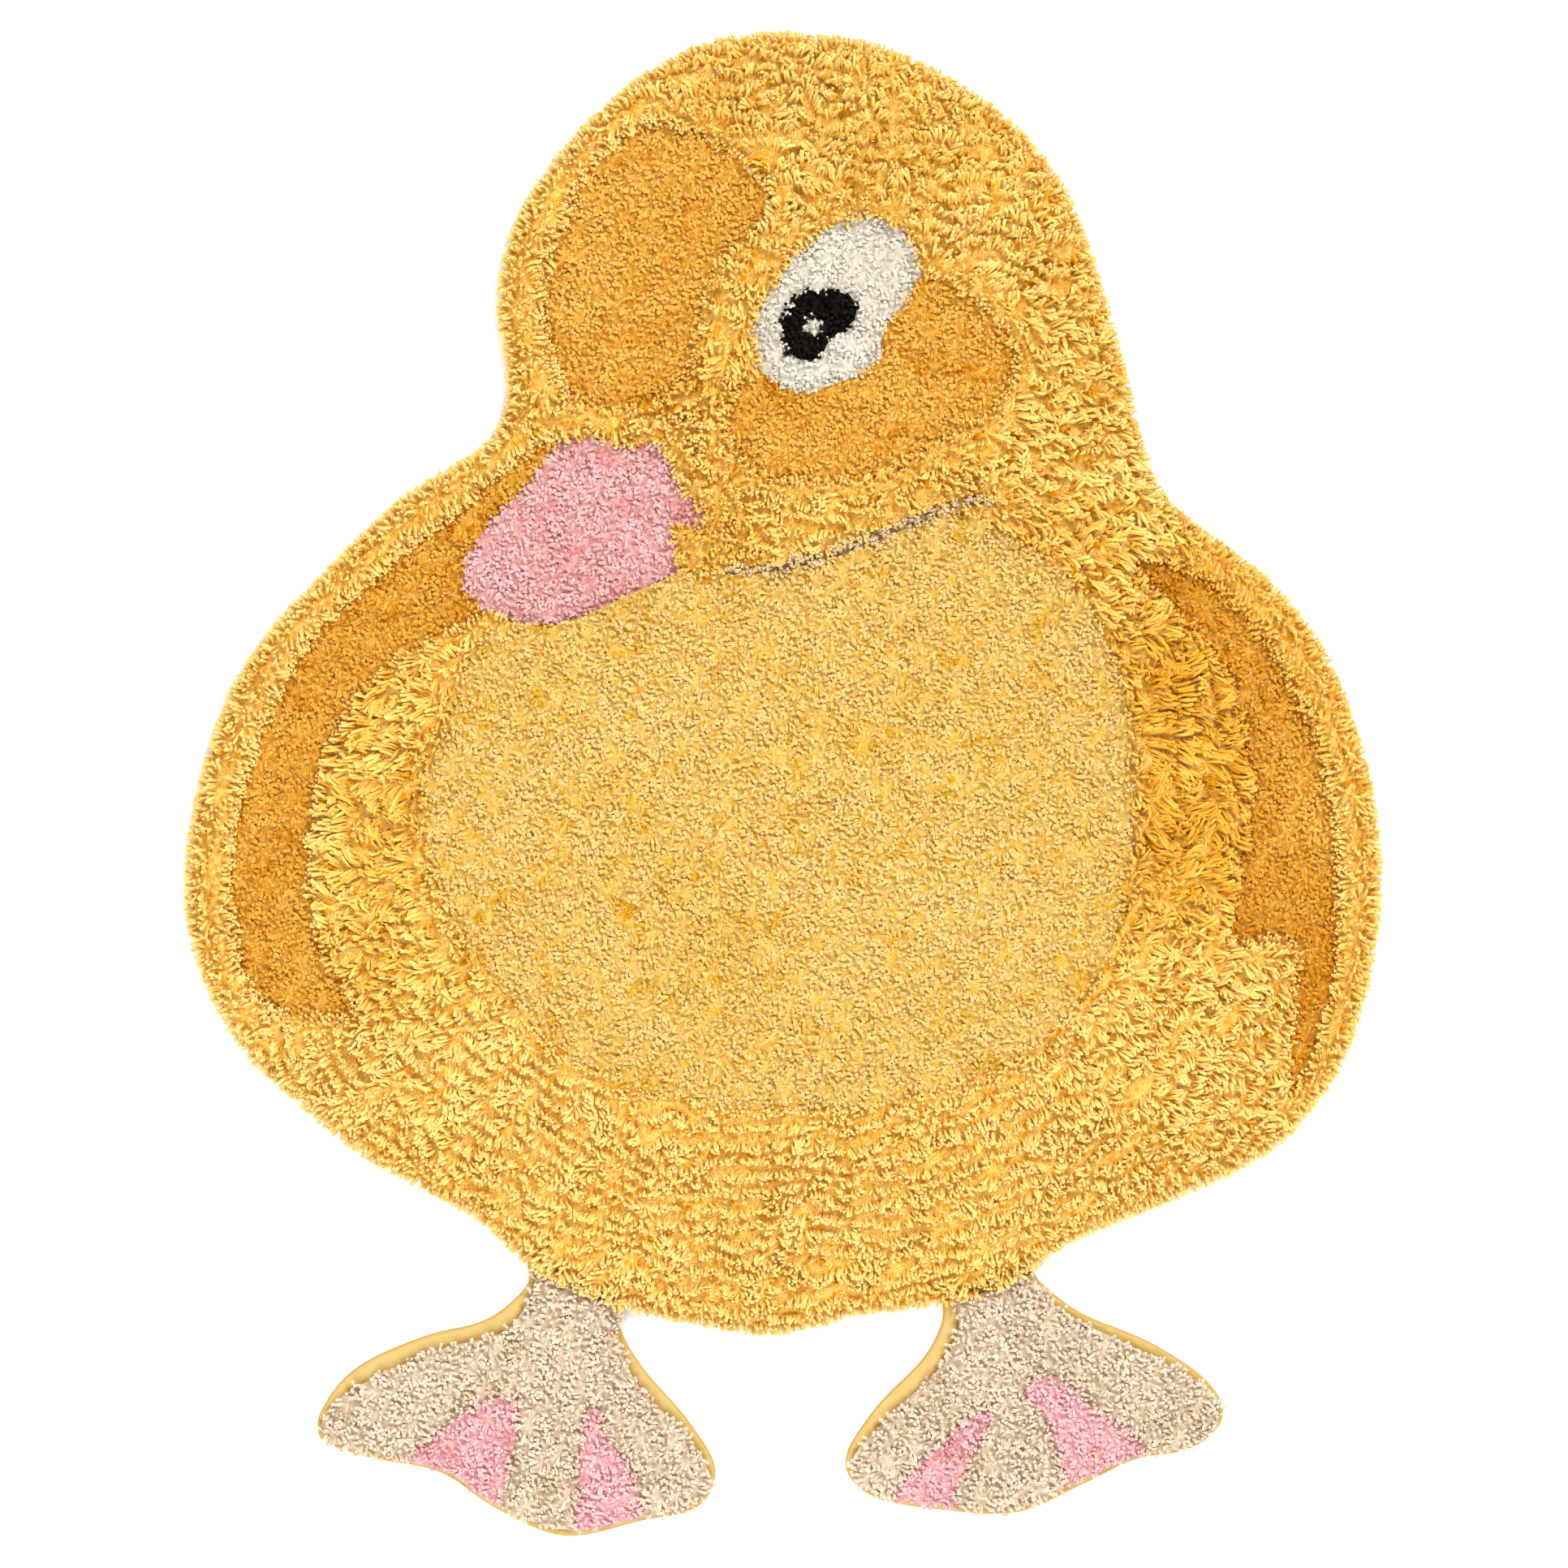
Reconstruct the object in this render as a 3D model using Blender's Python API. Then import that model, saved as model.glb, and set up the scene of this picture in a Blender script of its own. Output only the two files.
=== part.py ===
"""A duckling-shaped tufted cotton rug for a child's room, lying flat on the floor.

The rug is made the way such rugs are: a hemmed canvas cloth is cut to the
duckling's outline, and yarn is tufted into it one colour field at a time. The
body and head are long cut shag, combed into lumpy clumps that hang over the
cloth's rim as short locks. The face, cheek, wings, throat, belly, eye and feet
are short pile. Every field is a solid of its own and stands on the cloth.

Sizes are in millimetres here and become metres when the meshes are made. The
origin is under the middle of the rug's outline, on the floor. +Y runs towards
the head, +X to the right as the duckling is looked down on, and +Z is up.
"""

import math
from dataclasses import dataclass

import bpy
import numpy as np
from mathutils.geometry import delaunay_2d_cdt

MM = 0.001
GAP = 0.3  # between neighbouring pieces
SEED = 11

# --- Driving sizes -----------------------------------------------------------

CLOTH_THICKNESS = 3.0
CLOTH_EDGE_ROUND = 0.8  # how far the hem's fold is rounded, above and below
CLOTH_STEP = 15.0  # spacing of the points along the cloth's outline
CLOTH_INSET = 11.0  # the shag's locks reach this far past the cloth
PILE_BASE = CLOTH_THICKNESS + GAP

SHAG_RIM_RISE = 26.0  # width over which the shag rises from its rim to its crown
LOCK_PITCH = 12.5
LOCK_REACH = 7.5  # how far a lock's tip stands out past the notches beside it
LOCK_UNEVEN = (0.75, 1.15)  # shares of that reach
LOCK_LEAN = 3.0  # how far a tip may lean along the rim
LOCK_TIP_HEIGHT = 5.0
LEG_RIM_HEIGHT = 17.0  # the shag's rim where it meets the feet's pile
SHOULDER_DEPTH = 2.2 * LOCK_REACH  # where a ring of points rounds the shag's rim
FILL_DEPTH = 2.9 * LOCK_REACH  # no other point of the shag's top is nearer its rim
UNDERSIDE_INSET = CLOTH_INSET - 1.5  # from here out, the locks sink to the floor
FLOOR_CLEAR_OF_LEG = 16.0  # locks nearer a leg than this rest on the leg's cloth

# --- Outlines ----------------------------------------------------------------
# Each row is one point of a closed smooth curve, counter-clockwise.
# Columns: x_mm to the right of the middle, y_mm from the middle towards the head.

BODY = (
    (5, 599), (-69, 588), (-133, 550), (-185, 495), (-219, 437), (-228, 379),
    (-220, 314), (-237, 270), (-301, 230), (-366, 169), (-424, 104), (-459, 27),
    (-477, -73), (-463, -157), (-411, -241), (-333, -299), (-249, -344),
    (-203, -383), (-130, -417), (-69, -430), (-7, -439), (60, -423), (128, -414),
    (196, -391), (241, -361), (325, -325), (396, -286), (451, -209), (475, -99),
    (467, 4), (428, 111), (364, 184), (302, 233), (281, 295), (260, 375),
    (222, 479), (160, 545), (86, 585),
)
FACE = (
    (-107, 526), (-149, 498), (-172, 455), (-190, 411), (-189, 359), (-169, 309),
    (-127, 298), (-85, 314), (-70, 359), (-59, 404), (-24, 440), (-11, 475),
    (-62, 517),
)
CHEEK = (
    (112, 408), (60, 379), (-4, 340), (-40, 314), (-47, 282), (-27, 249),
    (22, 240), (80, 244), (112, 266), (154, 288), (184, 324), (180, 356),
    (151, 388),
)
EYE = (
    (64, 453), (25, 437), (-7, 401), (-25, 366), (-17, 326), (12, 312),
    (47, 320), (75, 337), (80, 366), (100, 386), (109, 416), (93, 443),
)
PUPIL = (
    (33, 393), (9, 388), (-2, 362), (5, 342), (27, 338), (36, 353), (57, 371),
    (54, 388),
)
SPARK = (
    (24, 373), (16, 372), (18, 366), (12, 359), (20, 361), (25, 355), (29, 361),
    (36, 366), (28, 368),
)
THROAT = (
    (-172, 275), (-204, 240), (-237, 204), (-258, 167), (-237, 137), (-185, 126),
    (-127, 149), (-83, 172), (-89, 203), (-57, 208), (-78, 233), (-95, 267),
    (-133, 271),
)
WING_LEFT = (
    (-172, 280), (-220, 253), (-262, 216), (-320, 169), (-375, 117), (-408, 56),
    (-432, -9), (-441, -80), (-432, -147), (-408, -178), (-340, -183),
    (-366, -131), (-377, -73), (-367, 11), (-343, 62), (-301, 104), (-243, 133),
    (-211, 172), (-185, 237),
)
WING_RIGHT = (
    (277, 178), (299, 149), (338, 111), (364, 49), (371, -12), (362, -73),
    (356, -124), (405, -127), (404, -189), (402, -249), (422, -215),
    (438, -157), (440, -73), (433, 4), (409, 69), (373, 127), (325, 168),
)
BELLY = (
    (-237, 120), (-262, 62), (-288, -12), (-275, -83), (-233, -154),
    (-172, -215), (-88, -251), (9, -260), (99, -249), (183, -219), (241, -167),
    (272, -93), (278, -2), (270, 75), (238, 149), (189, 190), (138, 216),
    (73, 198), (9, 175), (-69, 167), (-120, 172), (-172, 146),
)
FOOT_LEFT = (
    (-193, -373), (-200, -402), (-222, -436), (-272, -450), (-324, -472),
    (-361, -495), (-368, -520), (-330, -534), (-272, -547), (-229, -575),
    (-175, -595), (-114, -585), (-72, -574), (-60, -548), (-82, -515),
    (-114, -483), (-131, -448), (-132, -409), (-137, -373),
)
FOOT_RIGHT = (
    (191, -373), (135, -373), (133, -402), (140, -428), (125, -464), (85, -503),
    (53, -541), (72, -565), (125, -575), (186, -577), (233, -557), (277, -537),
    (322, -528), (347, -506), (335, -481), (280, -450), (223, -421),
    (200, -396),
)
# The webs run out past the feet's lower edge, which cuts them off.
WEB_LEFT_OUTER = (
    (-306, -546), (-273, -565), (-234, -588), (-217, -538), (-213, -494),
    (-227, -488), (-262, -506),
)
WEB_LEFT_INNER = (
    (-151, -490), (-162, -519), (-164, -557), (-173, -610), (-149, -612),
    (-116, -602), (-117, -556), (-138, -525),
)
WEB_RIGHT_INNER = (
    (159, -495), (125, -525), (94, -554), (88, -588), (131, -592), (137, -561),
    (151, -535), (165, -504),
)
WEB_RIGHT_OUTER = (
    (195, -475), (192, -488), (208, -506), (217, -532), (234, -574), (292, -552),
    (283, -522), (244, -494), (219, -472),
)
LEG_CLOTH_LEFT = (
    (-201, -370), (-204, -398), (-237, -427), (-288, -441), (-340, -465),
    (-367, -496), (-370, -522), (-333, -537), (-275, -549), (-230, -578),
    (-175, -600), (-114, -588), (-69, -577), (-55, -546), (-78, -506),
    (-111, -468), (-130, -435), (-130, -402), (-133, -370),
)
LEG_CLOTH_RIGHT = (
    (191, -370), (128, -373), (125, -402), (127, -425), (112, -457), (73, -498),
    (49, -540), (70, -568), (125, -579), (186, -581), (238, -559), (280, -539),
    (325, -530), (350, -506), (338, -477), (293, -446), (235, -421),
    (199, -391),
)

# The mouth's line follows the belly's upper edge. Columns: x_mm, y_mm, width_mm.
MOUTH_LINE = (
    (-56, 168, 4.0), (-4, 172, 6.5), (41, 184, 7.0), (86, 203, 7.5),
    (128, 220, 7.5), (154, 227, 7.0), (173, 221, 4.5),
)


@dataclass(frozen=True)
class Yarn:
    """One finish: a name, its linear colour and how rough it is."""

    name: str
    colour: tuple
    roughness: float


CANVAS = Yarn("yellow_canvas", (0.89, 0.58, 0.17), 0.85)
SHAG_YELLOW = Yarn("pale_yellow_shag", (0.87, 0.53, 0.12), 0.9)
BELLY_YELLOW = Yarn("pale_yellow_pile", (0.90, 0.60, 0.17), 0.9)
GOLD = Yarn("gold_pile", (0.85, 0.42, 0.06), 0.9)
PINK = Yarn("pink_pile", (0.86, 0.45, 0.41), 0.9)
WEB_PINK = Yarn("web_pink_pile", (0.91, 0.49, 0.46), 0.9)
CREAM = Yarn("cream_pile", (0.85, 0.76, 0.61), 0.9)
BLACK = Yarn("black_pile", (0.012, 0.010, 0.008), 0.85)
TAUPE = Yarn("taupe_pile", (0.42, 0.29, 0.12), 0.9)
BEIGE = Yarn("beige_pile", (0.81, 0.66, 0.48), 0.9)


@dataclass(frozen=True)
class Field:
    """One tufted area of a single yarn, with sizes in mm.

    step and grain are the spacings of the points along its outline and inside
    it, crown and edge its heights above the cloth's underside away from its
    edge and at it, rise the width between the two, and lumps how uneven it is.
    It is tufted only inside the field that within names, if any.
    """

    name: str
    outline: tuple
    yarn: Yarn
    step: float
    grain: float
    crown: float
    edge: float
    rise: float
    lumps: float
    within: str = ""


# Columns: name, outline, yarn, step, grain, crown, edge, rise, lumps, within.
SHAG = Field("shag_pile", BODY, SHAG_YELLOW, LOCK_PITCH / 2, 15.5, 29.0, 22.5, 14, 4.5)

# The same columns. The first field that covers a place is the one tufted there.
FIELDS = (
    Field("eye_spark", SPARK, CREAM, 6, 20, 14.0, 13.0, 0, 0.0),
    Field("pupil", PUPIL, BLACK, 10, 26, 14.0, 12.5, 4, 0.3),
    Field("eye_white", EYE, CREAM, 14, 30, 14.5, 12.5, 5, 0.4),
    Field("mouth_line", (), TAUPE, 14, 30, 14.0, 14.0, 0, 0.0),
    Field("throat_pink", THROAT, PINK, 13, 30, 15.0, 12.5, 5, 0.7),
    Field("cheek_gold", CHEEK, GOLD, 14, 30, 15.0, 12.5, 5, 0.7),
    Field("face_gold", FACE, GOLD, 14, 30, 15.0, 12.5, 5, 0.7),
    Field("wing_left", WING_LEFT, GOLD, 14, 30, 15.0, 12.5, 5, 0.7),
    Field("wing_right", WING_RIGHT, GOLD, 14, 30, 15.0, 12.5, 5, 0.7),
    Field("belly_pile", BELLY, BELLY_YELLOW, 15, 34, 15.5, 13.0, 5, 0.8),
    SHAG,
    Field("web_left_outer", WEB_LEFT_OUTER, WEB_PINK, 12, 30, 14.0, 12.0, 5, 0.5, "foot_left"),
    Field("web_left_inner", WEB_LEFT_INNER, WEB_PINK, 12, 30, 14.0, 12.0, 5, 0.5, "foot_left"),
    Field("web_right_inner", WEB_RIGHT_INNER, WEB_PINK, 12, 30, 14.0, 12.0, 5, 0.5, "foot_right"),
    Field("web_right_outer", WEB_RIGHT_OUTER, WEB_PINK, 12, 30, 14.0, 12.0, 5, 0.5, "foot_right"),
    Field("foot_left", FOOT_LEFT, BEIGE, 13, 26, 15.0, 10.0, 6, 0.8),
    Field("foot_right", FOOT_RIGHT, BEIGE, 13, 26, 15.0, 10.0, 6, 0.8),
)
SMALLEST_FIELD = 300.0  # mm2: a smaller scrap left between outlines joins its neighbour
NEVER_A_SCRAP = ("eye_spark", "")  # the empty name is the ground outside the rug
SHORTEST_EDGE = 4.0
GRID_SHAKE = 0.2  # share of its spacing that a point inside a field is moved
GRID_CLEAR = 0.55  # share of its spacing that it keeps from the field's edge
SHOULDER_CLEAR = 1.6  # shares of a field's rise that it keeps from the edge too
CURVE_STEPS = 16  # between two rows of an outline's table
SHARPEST_MITRE = 0.08


# --- Plane curves ------------------------------------------------------------


def smooth_closed(knots, step):
    """Points spaced evenly by about step along a Catmull-Rom curve through the knots."""
    p = np.array(knots, float)
    t = np.linspace(0, 1, CURVE_STEPS, endpoint=False)[None, :, None]
    a, b, c, d = (np.roll(p, k, axis=0)[:, None] for k in (1, 0, -1, -2))
    cubic = 3 * b - a - 3 * c + d
    dense = b + 0.5 * t * (c - a + t * (2 * a - 5 * b + 4 * c - d + t * cubic))
    return even_closed(dense.reshape(-1, 2), step)


def even_closed(points, step):
    """The closed polyline sampled again with a spacing of about step."""
    ring = np.vstack([points, points[:1]])
    along = np.r_[0, np.cumsum(np.linalg.norm(np.diff(ring, axis=0), axis=1))]
    count = max(3, round(along[-1] / step))
    at = np.linspace(0, along[-1], count, endpoint=False)
    return np.column_stack([np.interp(at, along, ring[:, k]) for k in (0, 1)])


def inward_normals(points):
    """Unit normals of a closed counter-clockwise curve, pointing into it."""
    tangent = np.roll(points, -1, axis=0) - np.roll(points, 1, axis=0)
    tangent /= np.linalg.norm(tangent, axis=1)[:, None]
    return np.column_stack([-tangent[:, 1], tangent[:, 0]])


def inset_closed(points, distance):
    """Each edge of the closed curve moved inward by distance, its corners mitred."""
    edge = np.roll(points, -1, axis=0) - points
    edge /= np.linalg.norm(edge, axis=1)[:, None]
    after = np.column_stack([-edge[:, 1], edge[:, 0]])
    before = np.roll(after, 1, axis=0)
    mitre = before + after
    mitre /= np.maximum(SHARPEST_MITRE, (mitre * after).sum(axis=1))[:, None]
    return points + distance * mitre


def distance_to(points, loops):
    """Each point's distance to the nearest edge of the closed loops."""
    start = np.vstack(loops)
    end = np.vstack([np.roll(loop, -1, axis=0) for loop in loops])
    run = end - start
    offset = points[:, None] - start[None]
    share = (offset * run).sum(axis=2) / (run**2).sum(axis=1)
    nearest = offset - np.clip(share, 0, 1)[..., None] * run
    return np.linalg.norm(nearest, axis=2).min(axis=1)


def signed_area(loop):
    """The area inside a closed loop, negative where it runs clockwise, as round a hole."""
    x, y = loop.T
    return 0.5 * (x * np.roll(y, -1) - np.roll(x, -1) * y).sum()


def inside(points, loops):
    """Whether each point is inside the loops, by the even-odd rule."""
    odd = np.zeros(len(points), bool)
    x, y = points[:, :1], points[:, 1:]
    for loop in loops:
        (ax, ay), (bx, by) = loop.T, np.roll(loop, -1, axis=0).T
        crosses = (ay > y) != (by > y)
        slope = (bx - ax) / np.where(by == ay, 1, by - ay)
        odd ^= (crosses & (x < ax + (y - ay) * slope)).sum(axis=1) % 2 == 1
    return odd


def mouth_outline():
    """The mouth's line as a closed band of its own width, counter-clockwise."""
    x, y, width = np.array(MOUTH_LINE, float).T
    along = np.column_stack([np.gradient(x), np.gradient(y)])
    along /= np.linalg.norm(along, axis=1)[:, None]
    side = np.column_stack([along[:, 1], -along[:, 0]]) * width[:, None] / 2
    middle = np.column_stack([x, y])
    return np.vstack([middle + side, (middle - side)[::-1]])


def leg_cloths():
    """The two pieces of cloth that reach out under the legs and feet."""
    return [smooth_closed(knots, CLOTH_STEP) for knots in (LEG_CLOTH_LEFT, LEG_CLOTH_RIGHT)]


def on_legs(points):
    """Whether each point lies over a leg's cloth."""
    return np.any([inside(points, [leg]) for leg in leg_cloths()], axis=0)


def shag_outline(rng):
    """The shag's rim: a lock's tip and the notch after it by turns.

    A notch lies LOCK_REACH inside the smooth outline, and every tip leans a
    little along the rim. Across a leg, where the feet's pile meets the shag,
    the rim is plain.
    """
    rim = smooth_closed(BODY, SHAG.step)
    rim = rim[: len(rim) // 2 * 2]
    normal = inward_normals(rim)
    tangent = np.column_stack([normal[:, 1], -normal[:, 0]])
    over_leg = on_legs(rim)
    notch = (np.arange(len(rim)) % 2 == 1) & ~over_leg
    tip = ~notch & ~over_leg
    reach = LOCK_REACH * rng.uniform(*LOCK_UNEVEN, len(rim))
    lean = LOCK_LEAN * rng.uniform(-1, 1, len(rim))
    out = rim + normal * (notch * reach)[:, None] + tangent * (tip * lean)[:, None]
    return out[~over_leg | (np.arange(len(rim)) % 2 == 0)]


# --- Planar subdivision ------------------------------------------------------


def triangulate(points, loops, edges=()):
    """(vertices, triangles, covering loops, input index of each vertex) of the plane."""
    cut = delaunay_2d_cdt([tuple(p) for p in points], list(edges), loops, 0, 1e-5)
    where = np.array([tuple(v) for v in cut[0]])
    source = [found[0] if found else -1 for found in cut[3]]
    return where, np.array(cut[2]), cut[5], source


def settle_scraps(labels, where, triangles):
    """Each field's scraps, cut off between crossing outlines, joined to their neighbour."""
    owners = {}
    for t, corners in enumerate(triangles):
        for k in range(3):
            owners.setdefault(frozenset((corners[k], corners[k - 1])), []).append(t)
    touching = [[] for _ in triangles]
    for pair in owners.values():
        if len(pair) == 2:
            touching[pair[0]].append(pair[1])
            touching[pair[1]].append(pair[0])
    a, b, c = (where[triangles[:, k]] for k in range(3))
    area = 0.5 * np.abs(np.cross(b - a, c - a))
    seen = set()
    for first in range(len(triangles)):
        if first in seen:
            continue
        group, ahead = {first}, [first]
        while ahead:
            for other in touching[ahead.pop()]:
                if other not in group and labels[other] == labels[first]:
                    group.add(other)
                    ahead.append(other)
        seen |= group
        if labels[first] in NEVER_A_SCRAP or area[list(group)].sum() > SMALLEST_FIELD:
            continue
        around = [labels[o] for t in group for o in touching[t] if o not in group]
        taken = max(sorted(set(around)), key=around.count)
        for t in group:
            labels[t] = taken
    return labels


def boundary_loops(triangles):
    """The closed loops round a set of triangles, with their inside on the left."""
    edges = {(t[k], t[(k + 1) % 3]) for t in triangles for k in range(3)}
    after = {}
    for start, end in sorted(edges):
        if (end, start) not in edges:
            after.setdefault(start, []).append(end)
    loops = []
    while after:
        first = min(after)
        loop, here = [], first
        while here in after:
            loop.append(here)
            nexts = after[here]
            step = nexts.pop()
            if not nexts:
                del after[here]
            here = step
        loops.append(loop)
    return loops


def collapse_short_edges(where, triangles, labels):
    """Outline points nearer each other than SHORTEST_EDGE made one, at their middle."""
    target = np.arange(len(where))
    sets = [triangles[labels == name] for name in sorted(set(labels))]
    outline_edges = {
        tuple(sorted(pair))
        for group in sets
        for loop in boundary_loops(group)
        for pair in zip(loop, loop[1:] + loop[:1])
    }
    for a, b in sorted(outline_edges):
        a, b = target[a], target[b]
        if a != b and np.linalg.norm(where[a] - where[b]) < SHORTEST_EDGE:
            where[a] = (where[a] + where[b]) / 2
            target[target == b] = a
    triangles = target[triangles]
    whole = (np.diff(np.sort(triangles, axis=1), axis=1) > 0).all(axis=1)
    return where, triangles[whole], labels[whole]


def tufted_regions(outlines):
    """Each field's loops of shared points, from where the outlines cross one another."""
    points, loops, names = [], [], []
    for name, outline in outlines:
        loops.append(list(range(len(points), len(points) + len(outline))))
        points.extend(outline)
        names.append(name)
    where, triangles, covering, _ = triangulate(np.array(points), loops)
    needs = {k: names.index(field.within) for k, field in enumerate(FIELDS) if field.within}
    labels = [
        next((names[k] for k in sorted(cover) if needs.get(k, k) in cover), "")
        for cover in covering
    ]
    labels = np.array(labels)
    labels = settle_scraps(labels, where, triangles)
    where, triangles, labels = collapse_short_edges(where, triangles, labels)
    return {
        name: [where[loop] for loop in boundary_loops(triangles[labels == name])]
        for name in names
    }


# --- Solids ------------------------------------------------------------------


def grid_inside(loops, spacing, clear, rng):
    """Points on a shaken triangular grid inside the loops, clear of their edges."""
    low, high = np.vstack(loops).min(axis=0), np.vstack(loops).max(axis=0)
    rows = np.arange(low[1], high[1], spacing * math.sqrt(0.75))
    columns = np.arange(low[0], high[0] + spacing, spacing)
    x, y = np.meshgrid(columns, rows)
    x = x + (np.arange(len(rows)) % 2 * spacing / 2)[:, None]
    points = np.column_stack([x.ravel(), y.ravel()])
    points += rng.uniform(-GRID_SHAKE, GRID_SHAKE, points.shape) * spacing
    points = points[inside(points, loops)]
    return points[distance_to(points, loops) > clear] if len(points) else points


def shoulder_points(loops, depth):
    """Points a little inside the loops, where the pile has risen to its crown."""
    found = np.vstack([inset_closed(loop, depth) for loop in loops])
    kept = inside(found, loops) & (distance_to(found, loops) > 0.8 * depth)
    chosen = []
    for point in found[kept]:
        if all(np.linalg.norm(point - other) > depth for other in chosen[-3:]):
            chosen.append(point)
    return np.array(chosen).reshape(-1, 2)


def mesh_object(name, vertices, faces, yarn):
    """A mesh object of its own material, from vertices in mm."""
    mesh = bpy.data.meshes.new(name)
    mesh.from_pydata([tuple(v) for v in np.asarray(vertices) * MM], [], faces)
    mesh.validate()
    material = bpy.data.materials.new(name + "_" + yarn.name)
    material.use_nodes = True
    shader = material.node_tree.nodes["Principled BSDF"]
    shader.inputs["Base Color"].default_value = (*yarn.colour, 1)
    shader.inputs["Roughness"].default_value = yarn.roughness
    shader.inputs["Metallic"].default_value = 0
    material.diffuse_color = (*yarn.colour, 1)
    mesh.materials.append(material)
    made = bpy.data.objects.new(name, mesh)
    bpy.context.scene.collection.objects.link(made)
    return made


def face_triangles(points, loops, flip, ring=0):
    """Triangles that cover the inside of the loops, using every point.

    The last points, as many as ring says, are a closed line that stays an edge.
    """
    counted = np.cumsum([0] + [len(loop) for loop in loops])
    indices = [
        list(range(first, first + len(loop)))[:: 1 if signed_area(loop) > 0 else -1]
        for first, loop in zip(counted, loops)
    ]
    first = len(points) - ring
    edges = [(first + k, first + (k + 1) % ring) for k in range(ring)]
    _, triangles, covering, source = triangulate(points, indices, edges)
    if -1 in source:
        raise ValueError("an outline crosses itself")
    even = [tuple(source[v] for v in t) for t, c in zip(triangles, covering) if len(c) == 1]
    return [t[::-1] for t in even] if flip else even


def pile_solid(name, loops, top_points, top_height, bottom_points, bottom_height, yarn):
    """A closed solid between a lumpy top and an underside that share their outline.

    loops are the outline, outer and holes. top_points are the points inside it
    and bottom_points a closed line inside it, and the two heights give z in mm
    for an array of points that starts with the outline's own.
    """
    rim = np.vstack(loops)
    top = np.vstack([rim, top_points])
    bottom = np.vstack([rim, bottom_points])
    vertices = np.vstack([
        np.column_stack([top, top_height(top)]),
        np.column_stack([bottom, bottom_height(bottom)]),
    ])
    under = len(top)
    faces = face_triangles(top, loops, flip=False)
    cover = face_triangles(bottom, loops, flip=True, ring=len(bottom_points))
    faces += [tuple(v + under for v in t) for t in cover]
    first = 0
    for loop in loops:
        here = first + np.arange(len(loop))
        for a, b in zip(here, np.roll(here, -1)):
            faces += [(a + under, b + under, b), (a + under, b, a)]
        first += len(loop)
    faces = [tuple(int(v) for v in t) for t in faces]
    return mesh_object(name, vertices, faces, yarn)


def rising(distance, width):
    """0 at an edge, rising like a quarter round to 1 at width from it."""
    share = np.clip(distance / max(width, 1e-6), 0, 1)
    return np.sqrt(1 - (1 - share) ** 2)


def short_pile(field, loops, rng):
    """A short-pile field: a flat top with a rounded edge, hardly uneven."""
    loops = [inset_closed(loop, GAP / 2) for loop in loops]
    shoulder = shoulder_points(loops, field.rise) if field.rise else np.empty((0, 2))
    clear = max(GRID_CLEAR * field.grain, SHOULDER_CLEAR * field.rise)
    fill = grid_inside(loops, field.grain, clear, rng)
    inner = np.vstack([shoulder, fill])
    rim_count = sum(len(loop) for loop in loops)

    def top(points):
        up = np.full(len(points), field.edge)
        up[rim_count:] = field.crown + rng.uniform(-1, 1, len(points) - rim_count) * field.lumps
        return up

    def bottom(points):
        return np.full(len(points), PILE_BASE)

    return pile_solid(field.name, loops, inner, top, np.empty((0, 2)), bottom, field.yarn)


def shag_pile(loops, rng):
    """The long shag: a lumpy slab whose rim is cut into locks that rest on the floor."""
    loops = sorted(loops, key=signed_area, reverse=True)
    loops = [inset_closed(loop, GAP / 2) for loop in loops]
    rim_count = len(loops[0])
    outline = smooth_closed(BODY, SHAG.step)
    line = smooth_closed(BODY, CLOTH_STEP)
    underside = line + inward_normals(line) * UNDERSIDE_INSET
    line = smooth_closed(BODY, LOCK_PITCH)
    shoulder = line + inward_normals(line) * SHOULDER_DEPTH
    clear = GRID_CLEAR * SHAG.grain
    shoulder = shoulder[inside(shoulder, loops) & (distance_to(shoulder, loops) > clear / 2)]
    fill = grid_inside(loops, SHAG.grain, clear, rng)
    fill = fill[distance_to(fill, [outline]) > FILL_DEPTH]

    def top(points):
        crown = SHAG.crown + SHAG.lumps * rng.uniform(-1, 1, len(points))
        from_wall = rising(distance_to(points, loops[1:]), SHAG.rise)
        from_rim = rising(distance_to(points, [outline]), SHAG_RIM_RISE)
        low = np.where(on_legs(points), LEG_RIM_HEIGHT, LOCK_TIP_HEIGHT)
        high = SHAG.edge + (crown - SHAG.edge) * from_wall
        return low + (high - low) * from_rim

    def bottom(points):
        free = (distance_to(points, leg_cloths()) > FLOOR_CLEAR_OF_LEG) & ~on_legs(points)
        free[rim_count:] = False
        return np.where(free, 0, PILE_BASE)

    inner = np.vstack([shoulder, fill])
    return pile_solid(SHAG.name, loops, inner, top, underside, bottom, SHAG.yarn)


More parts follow.
